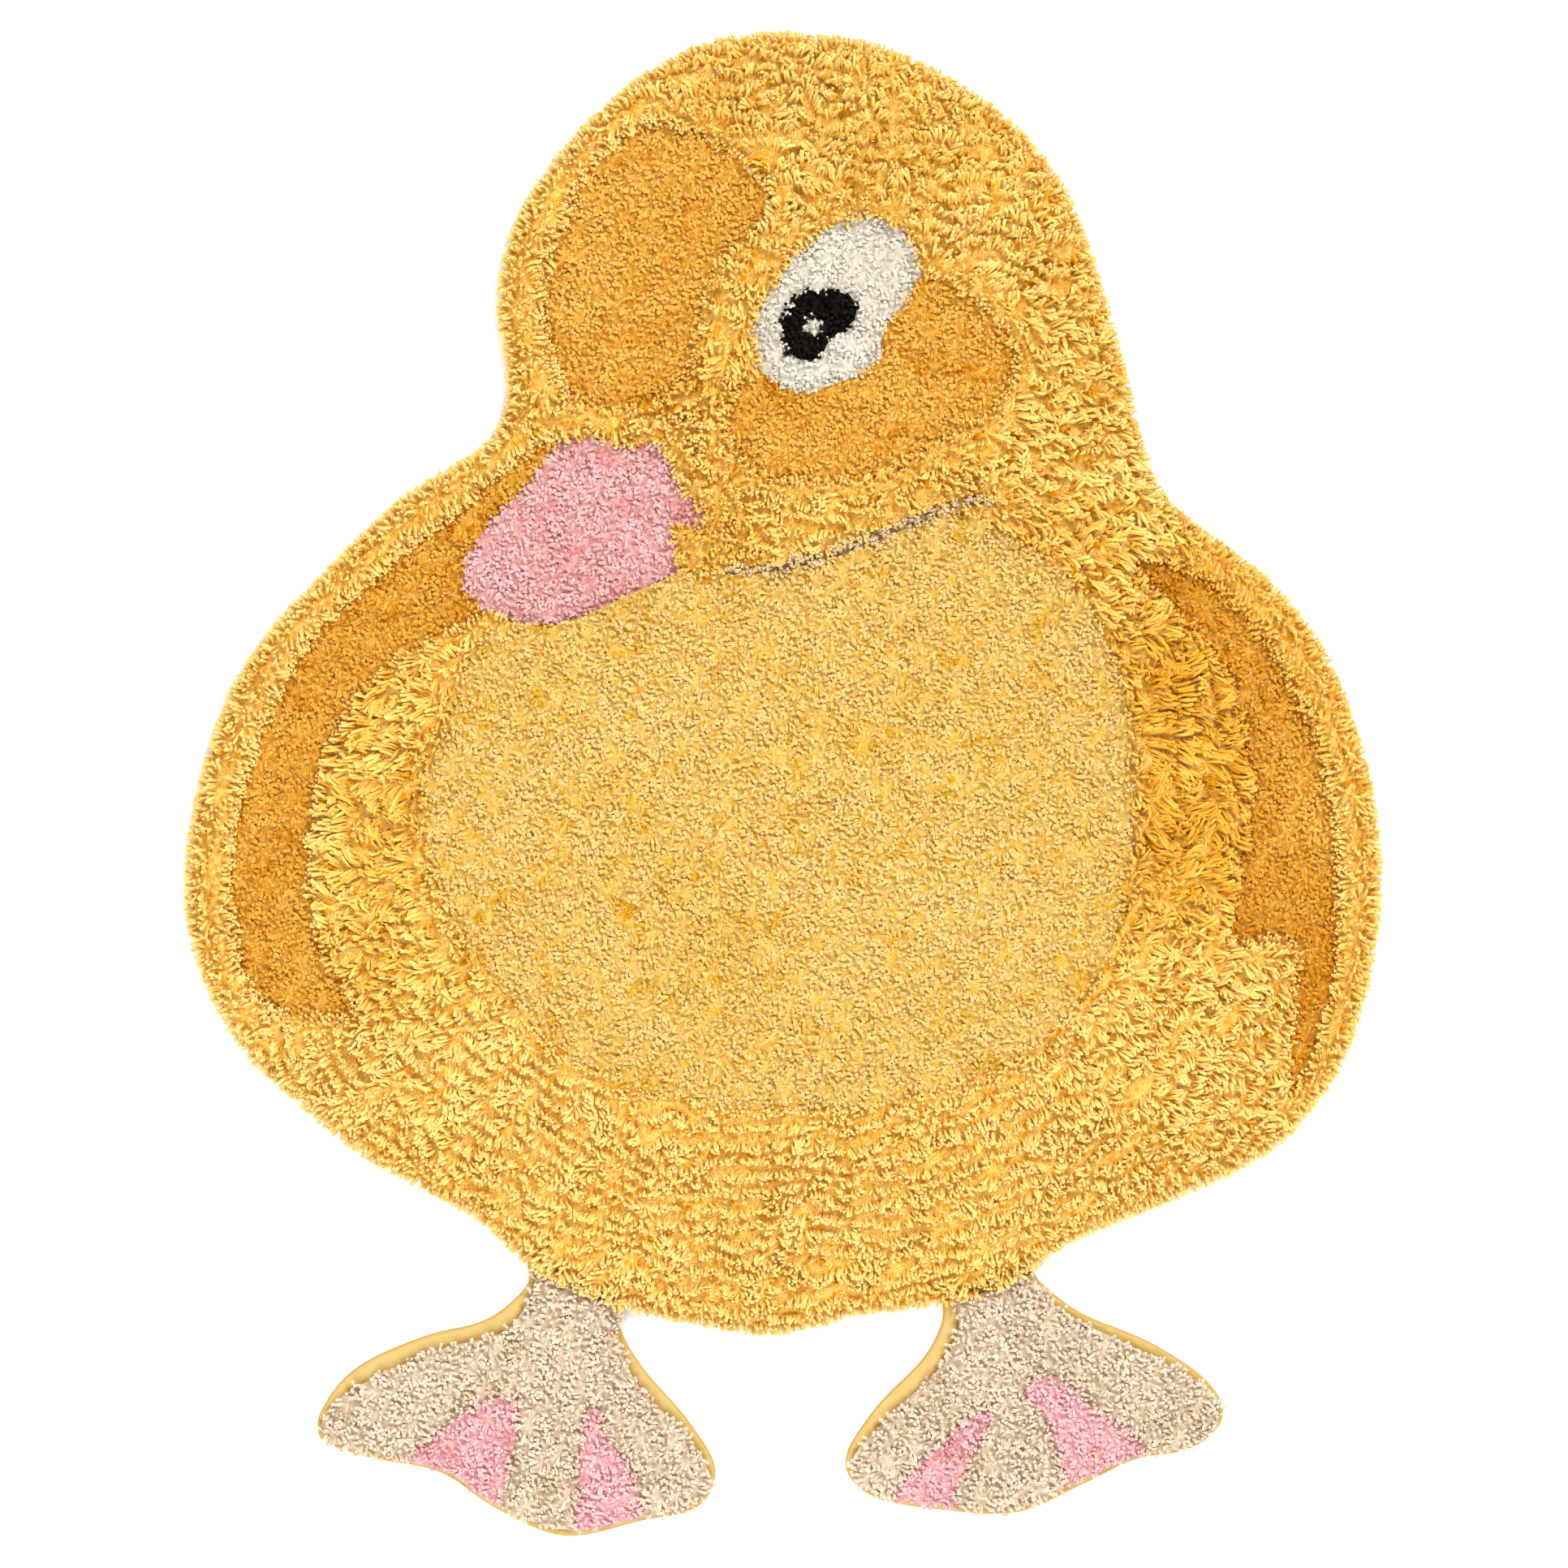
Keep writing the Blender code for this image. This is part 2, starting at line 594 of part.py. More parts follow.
def base_cloth():
    """The canvas: one flat cloth under the whole rug, with its turned hem's rounded edge."""
    body = smooth_closed(BODY, CLOTH_STEP)
    body = body + inward_normals(body) * CLOTH_INSET
    pieces = [body, *leg_cloths()]
    points = np.vstack(pieces)
    counted = np.cumsum([0] + [len(piece) for piece in pieces])
    loops = [list(range(counted[k], counted[k + 1])) for k in range(len(pieces))]
    where, triangles, covering, _ = triangulate(points, loops)
    labels = np.array(["cloth" if c else "" for c in covering])
    where, triangles, labels = collapse_short_edges(where, triangles, labels)
    (loop,) = boundary_loops(triangles[labels == "cloth"])
    outline = where[loop]
    inner = inset_closed(outline, CLOTH_EDGE_ROUND)
    count = len(outline)
    vertices = np.vstack([
        np.column_stack([ring, np.full(count, height)])
        for ring, height in (
            (inner, 0), (outline, CLOTH_THICKNESS / 2), (inner, CLOTH_THICKNESS),
        )
    ])
    cover = face_triangles(inner, [inner], flip=False)
    faces = [t[::-1] for t in cover]
    faces += [tuple(v + 2 * count for v in t) for t in cover]
    for a in range(count):
        b = (a + 1) % count
        for low in (0, count):
            faces.append((a + low, b + low, b + low + count, a + low + count))
    faces = [tuple(int(v) for v in face) for face in faces]
    return mesh_object("base_cloth", vertices, faces, CANVAS)


def main():
    """Clears the scene and builds the cloth and every tufted field on it."""
    for old in list(bpy.data.objects):
        bpy.data.objects.remove(old, do_unlink=True)
    rng = np.random.default_rng(SEED)
    outlines = []
    for field in FIELDS:
        if field is SHAG:
            outline = shag_outline(rng)
        elif field.name == "mouth_line":
            outline = even_closed(mouth_outline(), field.step)
        else:
            outline = smooth_closed(field.outline, field.step)
        outlines.append((field.name, outline))
    regions = tufted_regions(outlines)
    base_cloth()
    for field in FIELDS:
        if field is SHAG:
            shag_pile(regions[field.name], rng)
        else:
            short_pile(field, regions[field.name], rng)


main()
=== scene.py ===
"""Looks of a duckling-shaped tufted cotton rug that lies flat on a pale floor.

The rug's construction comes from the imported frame: a canvas cloth and one solid
for each tufted yarn field. Here every field is tufted again with separate yarn
ends that stand in clumps over a low bed, and the cloth gets its turned, sewn hem.
All shapes are worked out in millimetres as whole numpy arrays and stored in metres.
"""

from __future__ import annotations

import logging
import math
from collections.abc import Callable
from dataclasses import dataclass
from enum import Enum
from typing import Self

import bpy
import numpy as np
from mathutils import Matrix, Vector
from mathutils.geometry import delaunay_2d_cdt

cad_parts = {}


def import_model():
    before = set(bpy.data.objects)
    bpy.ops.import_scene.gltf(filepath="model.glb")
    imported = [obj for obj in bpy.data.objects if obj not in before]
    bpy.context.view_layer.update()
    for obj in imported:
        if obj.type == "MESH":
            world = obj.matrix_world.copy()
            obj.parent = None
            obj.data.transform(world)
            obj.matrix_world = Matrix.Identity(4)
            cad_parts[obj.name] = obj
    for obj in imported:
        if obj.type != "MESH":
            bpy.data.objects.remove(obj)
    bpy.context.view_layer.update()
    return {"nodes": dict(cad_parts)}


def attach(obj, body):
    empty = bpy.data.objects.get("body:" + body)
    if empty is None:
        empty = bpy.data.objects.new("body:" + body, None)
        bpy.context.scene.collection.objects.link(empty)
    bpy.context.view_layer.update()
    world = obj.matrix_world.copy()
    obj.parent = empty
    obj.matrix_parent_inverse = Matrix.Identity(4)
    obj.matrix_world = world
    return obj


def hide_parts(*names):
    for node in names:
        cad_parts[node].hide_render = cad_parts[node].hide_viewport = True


LOG = logging.getLogger("duckling_rug")
MM = 0.001
BODY = "root"
SEED = 4207
# The height in mm at which the yarn's beds start, just inside the cloth's top.
CLOTH_TOP = 3.3
# The UV that marks a bed, past the 0 to 1 of the yarn ends.
BED_UV = 2.0
# How many straight steps a yarn end's path has.
PATH_STEPS = 10
# The most a yarn end leans at its tip, in radians from upright.
MOST_LEAN = 1.75
# How many points a search for the nearest edge or place takes at once.
BLOCK = 2000
BLACK = (0.0, 0.0, 0.0, 1.0)
Array = np.ndarray
Colour = tuple[float, float, float]


# --- Numbers and plane geometry ----------------------------------------------


def smoothstep(value: Array, low: float, high: float) -> Array:
    """Rises from 0 at low to 1 at high as 3t^2 - 2t^3, and stays flat outside."""
    t = np.clip((value - low) / (high - low), 0.0, 1.0)
    return t * t * (3.0 - 2.0 * t)


def unit(vectors: Array) -> Array:
    """The vectors scaled to length one, with a zero vector left at zero."""
    return vectors / np.maximum(np.linalg.norm(vectors, axis=-1, keepdims=True), 1e-9)


def pointing(angle: Array) -> Array:
    """Unit vectors in the plane at the given angles."""
    return np.stack([np.cos(angle), np.sin(angle)], axis=-1)


@dataclass(frozen=True)
class Ripple:
    """A smooth random field over the plane, between about -1.5 and 1.5.

    The field is a sum of sine waves of random heading and phase, whose lengths
    lie round wavelength. Its waves are drawn out along x by stretch.
    """

    seed: int
    wavelength: float
    stretch: float = 1.0
    waves: int = 11

    def at(self, points: Array) -> Array:
        """Works out the field.

        Args:
            points: Places in the plane, one row each.

        Returns:
            The field's value at each point.
        """
        rng = np.random.default_rng(self.seed)
        heading = rng.uniform(0.0, math.tau, self.waves)
        number = math.tau / (self.wavelength * rng.uniform(0.6, 1.7, self.waves))
        phase = rng.uniform(0.0, math.tau, self.waves)
        waves = pointing(heading).T * number
        flat = points[:, :2] / np.array([self.stretch, 1.0])
        return np.sin(flat @ waves + phase).sum(axis=1) / math.sqrt(self.waves)


def nearest_edge(points: Array, loops: list[Array]) -> tuple[Array, Array]:
    """The distance to the nearest edge of the closed loops, and the unit way there.

    Args:
        points: Places in the plane, one row each.
        loops: Closed polylines.

    Returns:
        A distance and a unit vector for each point.
    """
    start = np.vstack(loops)
    run = np.vstack([np.roll(loop, -1, axis=0) for loop in loops]) - start
    squared = np.maximum((run**2).sum(axis=1), 1e-12)
    distance = np.empty(len(points))
    way = np.empty((len(points), 2))
    for first in range(0, len(points), BLOCK):
        part = points[first : first + BLOCK, :2]
        offset = part[:, None] - start[None]
        share = np.clip((offset * run).sum(axis=2) / squared, 0.0, 1.0)
        gap = offset - share[..., None] * run
        length = (gap**2).sum(axis=2)
        best = length.argmin(axis=1)
        rows = np.arange(len(part))
        distance[first : first + BLOCK] = np.sqrt(length[rows, best])
        way[first : first + BLOCK] = -unit(gap[rows, best])
    return distance, way


def nearest_point(points: Array, places: Array) -> Array:
    """Finds the nearest place to each point.

    Args:
        points: Places in the plane, one row each.
        places: The places to choose from.

    Returns:
        The number of a place for each point.
    """
    found = np.empty(len(points), int)
    squared = (places**2).sum(axis=1)
    for first in range(0, len(points), BLOCK):
        part = points[first : first + BLOCK]
        found[first : first + BLOCK] = (squared - 2.0 * part @ places.T).argmin(axis=1)
    return found


def inside(points: Array, loops: list[Array]) -> Array:
    """Tells which points are inside the loops, by the even-odd rule.

    Args:
        points: Places in the plane, one row each.
        loops: Closed polylines.

    Returns:
        Whether each point is inside.
    """
    odd = np.zeros(len(points), bool)
    x, y = points[:, :1], points[:, 1:2]
    for loop in loops:
        ends = np.roll(loop, -1, axis=0)
        crosses = (loop[:, 1] > y) != (ends[:, 1] > y)
        rise = np.where(ends[:, 1] == loop[:, 1], 1.0, ends[:, 1] - loop[:, 1])
        reach = loop[:, 0] + (y - loop[:, 1]) * (ends[:, 0] - loop[:, 0]) / rise
        odd ^= (crosses & (x < reach)).sum(axis=1) % 2 == 1
    return odd


def signed_area(loop: Array) -> float:
    """The area inside a closed loop, negative where it runs clockwise."""
    ends = np.roll(loop, -1, axis=0)
    return float(0.5 * (loop[:, 0] * ends[:, 1] - ends[:, 0] * loop[:, 1]).sum())


def even_closed(loop: Array, step: float) -> Array:
    """Samples a closed polyline again, at even steps along its edges.

    Args:
        loop: The polyline's points.
        step: About how far apart the new points are.

    Returns:
        The new points.
    """
    ring = np.vstack([loop, loop[:1]])
    along = np.r_[0.0, np.cumsum(np.linalg.norm(np.diff(ring, axis=0), axis=1))]
    count = max(3, round(along[-1] / step))
    at = np.linspace(0.0, along[-1], count, endpoint=False)
    return np.column_stack([np.interp(at, along, ring[:, k]) for k in (0, 1)])


def smooth_closed(loop: Array, step: float) -> Array:
    """Draws the Catmull-Rom curve through a closed polyline's points.

    Between b and c, with a before and d after them, the curve is the cubic in t
    that leaves b along c - a and reaches c along d - b.

    Args:
        loop: The polyline's points.
        step: About how far apart the curve's points are.

    Returns:
        Points along the curve.
    """
    t = np.linspace(0.0, 1.0, 12, endpoint=False)[None, :, None]
    a, b, c, d = (np.roll(loop, k, axis=0)[:, None] for k in (1, 0, -1, -2))
    cubic = 3 * b - a - 3 * c + d
    dense = b + 0.5 * t * (c - a + t * (2 * a - 5 * b + 4 * c - d + t * cubic))
    return even_closed(dense.reshape(-1, 2), step)


def inward(loop: Array) -> Array:
    """Unit normals of a closed curve, pointing to its left."""
    tangent = unit(np.roll(loop, -1, axis=0) - np.roll(loop, 1, axis=0))
    return np.column_stack([-tangent[:, 1], tangent[:, 0]])


def shaken_grid(loops: list[Array], spacing: float, shake: float, rng: np.random.Generator) -> Array:
    """Points inside the loops on a triangular grid, each moved at random.

    Args:
        loops: Closed polylines that bound the area.
        spacing: Distance between neighbours.
        shake: Largest move, as a share of the spacing.
        rng: Source of the moves.

    Returns:
        The points that are inside.
    """
    corners = np.vstack(loops)
    low, high = corners.min(axis=0), corners.max(axis=0)
    x, y = np.meshgrid(
        np.arange(low[0], high[0] + spacing, spacing),
        np.arange(low[1], high[1] + spacing, spacing * math.sqrt(0.75)),
    )
    x = x + (np.arange(len(x)) % 2 * spacing / 2)[:, None]
    points = np.column_stack([x.ravel(), y.ravel()])
    points += rng.uniform(-shake, shake, points.shape) * spacing
    return points[inside(points, loops)]


# --- Meshes ------------------------------------------------------------------


@dataclass
class MeshArrays:
    """A mesh as arrays: points in mm, faces, a UV pair for each corner, and tones."""

    points: Array
    quads: Array
    tris: Array
    quad_uv: Array
    tri_uv: Array
    tone: Array

    @staticmethod
    def joined(parts: list[MeshArrays]) -> MeshArrays:
        """Joins several meshes.

        Args:
            parts: The meshes.

        Returns:
            One mesh, with their points and faces in order.
        """
        first = np.cumsum([0] + [len(part.points) for part in parts])
        return MeshArrays(
            points=np.vstack([part.points for part in parts]),
            quads=np.vstack([part.quads + k for part, k in zip(parts, first)]),
            tris=np.vstack([part.tris + k for part, k in zip(parts, first)]),
            quad_uv=np.concatenate([part.quad_uv for part in parts]),
            tri_uv=np.concatenate([part.tri_uv for part in parts]),
            tone=np.concatenate([part.tone for part in parts]),
        )

    def triangle_count(self) -> int:
        """How many triangles the mesh has."""
        return 2 * len(self.quads) + len(self.tris)

    def make_object(self, name: str, material: bpy.types.Material, smooth: bool = False) -> bpy.types.Object:
        """The mesh as an object at the origin, riding on the rug.

        Args:
            name: The object's name.
            material: Its only material.
            smooth: Whether light runs smoothly over its edges. Thin tubes stay
                faceted, so that their sides don't turn black.

        Returns:
            The object.
        """
        mesh = bpy.data.meshes.new(name)
        mesh.vertices.add(len(self.points))
        mesh.vertices.foreach_set("co", (self.points * MM).astype(np.float32).ravel())
        order = np.concatenate([self.quads.ravel(), self.tris.ravel()]).astype(np.int32)
        mesh.loops.add(len(order))
        mesh.loops.foreach_set("vertex_index", order)
        four, three = len(self.quads), len(self.tris)
        mesh.polygons.add(four + three)
        starts = np.concatenate([np.arange(four) * 4, four * 4 + np.arange(three) * 3])
        mesh.polygons.foreach_set("loop_start", starts.astype(np.int32))
        mesh.update(calc_edges=True)
        if smooth:
            mesh.shade_smooth()
        else:
            mesh.shade_flat()
        layer = mesh.uv_layers.new(name="Yarn")
        flat = np.concatenate([self.quad_uv.reshape(-1, 2), self.tri_uv.reshape(-1, 2)])
        layer.data.foreach_set("uv", flat.astype(np.float32).ravel())
        tone = mesh.attributes.new("tone", "FLOAT", "POINT")
        tone.data.foreach_set("value", self.tone.astype(np.float32))
        mesh.materials.append(material)
        made = bpy.data.objects.new(name, mesh)
        bpy.context.scene.collection.objects.link(made)
        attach(made, BODY)
        LOG.info("%s: %d triangles", name, self.triangle_count())
        return made


def plane_triangles(points: Array, loops: list[Array], flip: bool = False) -> Array:
    """Triangles that cover the inside of the loops, using every point.

    Args:
        points: The loops' own points in order, then any points inside them.
        loops: Closed polylines, outer ones counter-clockwise and holes clockwise.
        flip: Whether the triangles face down.

    Returns:
        Three point numbers for each triangle.
    """
    first = np.cumsum([0] + [len(loop) for loop in loops])
    rings = [
        list(range(at, at + len(loop)))[:: 1 if signed_area(loop) > 0 else -1]
        for at, loop in zip(first, loops)
    ]
    cut = delaunay_2d_cdt([Vector(p) for p in points[:, :2].tolist()], [], rings, 0, 1e-6)
    source = np.array([found[0] if found else -1 for found in cut[3]])
    kept = np.array([len(cover) == 1 for cover in cut[5]])
    faces = source[np.array(cut[2])[kept]]
    faces = faces[(faces >= 0).all(axis=1)]
    return faces[:, ::-1] if flip else faces


def slab(loops: list[Array], fill: Array, top: Array, low: float) -> MeshArrays:
    """A closed slab with an uneven top, upright sides and a flat underside.

    Its UV is BED_UV all over, at which the yarn finishes show lying strands.

    Args:
        loops: The slab's outline and its holes.
        fill: Points inside the outline.
        top: The heights of the outline's points and then of the fill's.
        low: The underside's height.

    Returns:
        The slab.
    """
    rim = np.vstack(loops)
    plan = np.vstack([rim, fill])
    points = np.vstack([
        np.column_stack([plan, top]),
        np.column_stack([rim, np.full(len(rim), low)]),
    ])
    tris = np.vstack([
        plane_triangles(plan, loops),
        plane_triangles(rim, loops, flip=True) + len(plan),
    ])
    walls = []
    first = 0
    for loop in loops:
        here = first + np.arange(len(loop))
        after = np.roll(here, -1)
        walls.append(np.column_stack([here + len(plan), after + len(plan), after, here]))
        first += len(loop)
    quads = np.vstack(walls)
    return MeshArrays(
        points=points,
        quads=quads,
        tris=tris,
        quad_uv=np.full((len(quads), 4, 2), BED_UV),
        tri_uv=np.full((len(tris), 3, 2), BED_UV),
        tone=np.zeros(len(points)),
    )


class Rows:
    """A table whose columns are equally long arrays."""

    def subset(self, chosen: Array) -> Self:
        """The rows that a mask or a list of numbers chooses."""
        return type(self)(**{name: values[chosen] for name, values in vars(self).items()})


@dataclass
class YarnEnds(Rows):
    """Many cut yarn ends, one row each, with sizes in mm and angles in radians.

    An end leaves its root at lean_root from upright, towards heading, and bends
    to lean_tip. Near its tip it also bends towards hook_heading, by hook.
    """

    root: Array
    heading: Array
    lean_root: Array
    lean_tip: Array
    hook_heading: Array
    hook: Array
    length: Array
    radius: Array
    phase: Array
    tone: Array
    ground: Array

    def paths(self) -> tuple[Array, Array]:
        """Works out each yarn end's path.

        A step's direction has the lean's sine along the heading and its cosine
        upwards, plus the hook times the square of how far along the end it is.
        The steps are summed up from the root, and no point goes below the ground.

        Returns:
            The points along each end, and its direction at each of them.
        """
        share = (np.arange(PATH_STEPS) + 0.5) / PATH_STEPS
        lean = self.lean_root[:, None] + (self.lean_tip - self.lean_root)[:, None] * share
        ahead = pointing(self.heading)[:, None]
        aside = pointing(self.hook_heading)[:, None]
        bend = (self.hook[:, None] * share**2)[..., None]
        step = np.concatenate([
            np.sin(lean)[..., None] * ahead + bend * aside,
            np.cos(lean)[..., None] - 0.35 * bend,
        ], axis=2)
        step = unit(step)
        ways = np.concatenate([step[:, :1], unit(step[:, 1:] + step[:, :-1]), step[:, -1:]], axis=1)
        run = np.cumsum(step * (self.length / PATH_STEPS)[:, None, None], axis=1)
        path = self.root[:, None] + np.concatenate([np.zeros_like(run[:, :1]), run], axis=1)
        path[..., 2] = np.maximum(path[..., 2], (self.ground + self.radius)[:, None])
        return path, ways

    def mesh(self, bends: tuple[int, ...] = (), sides: int = 3) -> MeshArrays:
        """Every end as a closed tube: a round profile carried along its path.

        The profile widens evenly from root to tip, because cut cotton opens there.
        It closes to a point just past its last ring, so that the tip looks cut.

        Args:
            bends: The path's steps at which the tube has a ring of its own,
                besides its root and its tip.
            sides: How many sides the profile has.

        Returns:
            The tubes.
        """
        path, ways = self.paths()
        count, rings = len(path), len(bends) + 2
        tip, at = path[:, -1:], (0, *bends)
        last = tip - (0.75 * self.radius)[:, None, None] * ways[:, -1:]
        middle = np.concatenate([path[:, at], last], axis=1)
        ways = np.concatenate([ways[:, at], ways[:, -1:]], axis=1)
        share = np.array([*at, 0.94 * PATH_STEPS]) / PATH_STEPS
        flat = np.broadcast_to(pointing(self.heading + math.pi / 2)[:, None], (count, rings, 2))
        across = np.concatenate([flat, np.zeros((count, rings, 1))], axis=2)
        side = unit(across - (across * ways).sum(axis=2, keepdims=True) * ways)
        upper = np.cross(ways, side)
        turn = np.arange(sides) / sides * math.tau + self.phase[:, None]
        swell = (self.radius[:, None] * (0.88 + 0.3 * share))[:, :, None, None]
        spoke = (
            np.cos(turn)[:, None, :, None] * side[:, :, None]
            + np.sin(turn)[:, None, :, None] * upper[:, :, None]
        )
        tube = middle[:, :, None] + swell * spoke
        points = np.concatenate([tube.reshape(count, -1, 3), tip], axis=1)
        quads, tris = self._faces(rings, sides)
        quad_uv, tri_uv = self._face_uvs(share, sides)
        first = (np.arange(count) * points.shape[1])[:, None, None]
        return MeshArrays(
            points=points.reshape(-1, 3),
            quads=(first + quads).reshape(-1, 4),
            tris=(first + tris).reshape(-1, 3),
            quad_uv=np.tile(quad_uv, (count, 1, 1)),
            tri_uv=np.tile(tri_uv, (count, 1, 1)),
            tone=np.repeat(self.tone, points.shape[1]),
        )

    @staticmethod
    def _faces(rings: int, sides: int) -> tuple[Array, Array]:
        """One tube's faces, with its points numbered ring by ring and the tip last.

        Args:
            rings: How many rings of points the tube has.
            sides: How many sides it has.

        Returns:
            The quads between the rings, and the triangles at the two ends.
        """
        side = np.arange(sides)
        after = (side + 1) % sides
        ring = (np.arange(rings - 1) * sides)[:, None]
        quads = np.stack([ring + side, ring + after, ring + after + sides, ring + side + sides], axis=-1)
        fan = np.arange(1, sides - 1)
        root = np.stack([np.zeros_like(fan), fan + 1, fan], axis=1)
        last = (rings - 1) * sides
        tip = np.stack([last + side, last + after, np.full(sides, rings * sides)], axis=1)
        return quads.reshape(-1, 4), np.vstack([root, tip])

    @staticmethod
    def _face_uvs(along: Array, sides: int) -> tuple[Array, Array]:
        """The UV pairs of one tube's faces: u runs round the yarn and v from root to tip.

        Args:
            along: How far up the yarn each ring is, from 0 to 1.
            sides: How many sides the tube has.

        Returns:
            The quads' pairs and the triangles' pairs.
        """
        u = np.arange(sides) / sides
        spans = len(along) - 1
        quads = np.stack([
            np.stack(np.broadcast_arrays(u[None] + du, along[dv : spans + dv, None]), axis=-1)
            for du, dv in ((0, 0), (1 / sides, 0), (1 / sides, 1), (0, 1))
        ], axis=2)
        neck = np.full(sides, along[-1])
        tip = np.stack([
            np.column_stack([u, neck]),
            np.column_stack([u + 1 / sides, neck]),
            np.column_stack([u + 0.5 / sides, np.ones(sides)]),
        ], axis=1)
        return quads.reshape(-1, 4, 2), np.vstack([np.zeros((sides - 2, 3, 2)), tip])


# --- Finishes ----------------------------------------------------------------


class Slot(Enum):
    """The rug's material slots."""

    CANVAS = "yellow_canvas"
    SHAG = "pale_yellow_shag"
    BELLY = "pale_yellow_pile"
    GOLD = "gold_pile"
    PINK = "pink_pile"
    WEB = "web_pink_pile"
    CREAM = "cream_pile"
    BLACK = "black_pile"
    TAUPE = "taupe_pile"
    BEIGE = "beige_pile"


class Net:
    """Short ways to add and link nodes in one tree."""

    def __init__(self, tree: bpy.types.NodeTree) -> None:
        """Keeps the tree."""
        self.tree = tree

    def add(self, kind: str, **values: object) -> bpy.types.Node:
        """Adds a node.

        Args:
            kind: The node's type.
            **values: Its plain properties.

        Returns:
            The node.
        """
        node = self.tree.nodes.new(kind)
        for name, value in values.items():
            setattr(node, name, value)
        return node

    def put(self, target: bpy.types.NodeSocket, value: object) -> None:
        """Feeds an input.

        Args:
            target: The input.
            value: A socket to link to it, or a plain value for it.
        """
        if isinstance(value, bpy.types.NodeSocket):
            self.tree.links.new(value, target)
        else:
            target.default_value = value

    def math(self, operation: str, *values: object, clamp: bool = False) -> bpy.types.NodeSocket:
        """Adds a Math node.

        Args:
            operation: What it does.
            *values: Its inputs: sockets or numbers.
            clamp: Whether its result is kept between 0 and 1.

        Returns:
            Its result.
        """
        node = self.add("ShaderNodeMath", operation=operation, use_clamp=clamp)
        for socket, value in zip(node.inputs, values):
            self.put(socket, value)
        return node.outputs[0]

    def mix(self, share: object, first: object, second: object) -> bpy.types.NodeSocket:
        """Mixes two colours.

        Args:
            share: How much of the second there is, kept between 0 and 1.
            first: A colour or its socket.
            second: A colour or its socket.

        Returns:
            The mixed colour.
        """
        node = self.add("ShaderNodeMix", data_type="RGBA", clamp_factor=True)
        for at, value in ((0, share), (6, first), (7, second)):
            self.put(node.inputs[at], value)
        return node.outputs[2]

    def curve(self, value: bpy.types.NodeSocket, *points: tuple[float, float]) -> bpy.types.NodeSocket:
        """Carries a value through a smooth curve.

        Args:
            value: The value, from 0 to 1.
            *points: The curve's (from, to) points, its two ends first.

        Returns:
            The new value.
        """
        node = self.add("ShaderNodeFloatCurve")
        line = node.mapping.curves[0]
        for at, (x, y) in enumerate(points):
            if at < 2:
                line.points[at].location = (x, y)
            else:
                line.points.new(x, y)
        node.mapping.update()
        self.put(node.inputs["Value"], value)
        return node.outputs[0]

    def texture(self, kind: str, **values: float) -> bpy.types.NodeSocket:
        """Adds a texture on the object's own coordinates.

        Args:
            kind: The texture node's type.
            **values: Its inputs, with an underscore for the space in a name.

        Returns:
            The texture's value.
        """
        node = self.add(kind)
        self.put(node.inputs["Vector"], self.add("ShaderNodeTexCoord").outputs["Object"])
        for name, value in values.items():
            node.inputs[name.replace("_", " ")].default_value = value
        return node.outputs["Fac"]

    def noise(self, scale: float, detail: float = 2.0) -> bpy.types.NodeSocket:
        """A noise value on the object's own coordinates."""
        return self.texture("ShaderNodeTexNoise", Scale=scale, Detail=detail)

    def parts(self, vector: bpy.types.NodeSocket) -> tuple[bpy.types.NodeSocket, bpy.types.NodeSocket]:
        """Splits a vector.

        Args:
            vector: The vector.

        Returns:
            Its X and its Y.
        """
        split = self.add("ShaderNodeSeparateXYZ")
        self.put(split.inputs[0], vector)
        return split.outputs["X"], split.outputs["Y"]

    def yarn_uv(self) -> tuple[bpy.types.NodeSocket, bpy.types.NodeSocket]:
        """How far round the yarn a place is, and how far up it."""
        return self.parts(self.add("ShaderNodeUVMap", uv_map="Yarn").outputs["UV"])

    def strands(self) -> bpy.types.NodeSocket:
        """Lying yarn seen from above: 1 on its strands' backs and 0 in the gaps.

        They are the bands of a Wave texture, bent by its own noise and broken by
        another one.

        Returns:
            The strands' height.
        """
        wave = self.texture(
            "ShaderNodeTexWave", Scale=115.0, Distortion=34.0, Detail=1.0, Detail_Scale=0.8
        )
        back = self.curve(wave, (0.0, 0.0), (1.0, 1.0), (0.22, 0.45), (0.5, 0.95))
        broken = self.curve(self.noise(210.0, 1.0), (0.0, 0.2), (1.0, 1.0), (0.4, 0.4), (0.5, 1.0))
        return self.math("MULTIPLY", back, broken)

    def bedded(self, around: bpy.types.NodeSocket) -> bpy.types.NodeSocket:
        """1 on a bed and 0 on yarn ends, by the first part of the UV."""
        return self.math("GREATER_THAN", around, BED_UV - 0.5)

    def clothe(
        self, shader: bpy.types.Node, tone: bpy.types.Node, relief: bpy.types.Node,
        strength: float, depth: float,
    ) -> None:
        """Feeds a shader with two groups.

        Args:
            shader: The Principled shader.
            tone: The group whose Color and Roughness it takes.
            relief: The group whose Height it takes as bump.
            strength: The bump's strength.
            depth: The bump's depth, in metres.
        """
        self.put(shader.inputs["Base Color"], tone.outputs["Color"])
        self.put(shader.inputs["Roughness"], tone.outputs["Roughness"])
        bump = self.add("ShaderNodeBump")
        bump.inputs["Strength"].default_value = strength
        bump.inputs["Distance"].default_value = depth
        self.put(bump.inputs["Height"], relief.outputs["Height"])
        self.put(shader.inputs["Normal"], bump.outputs["Normal"])


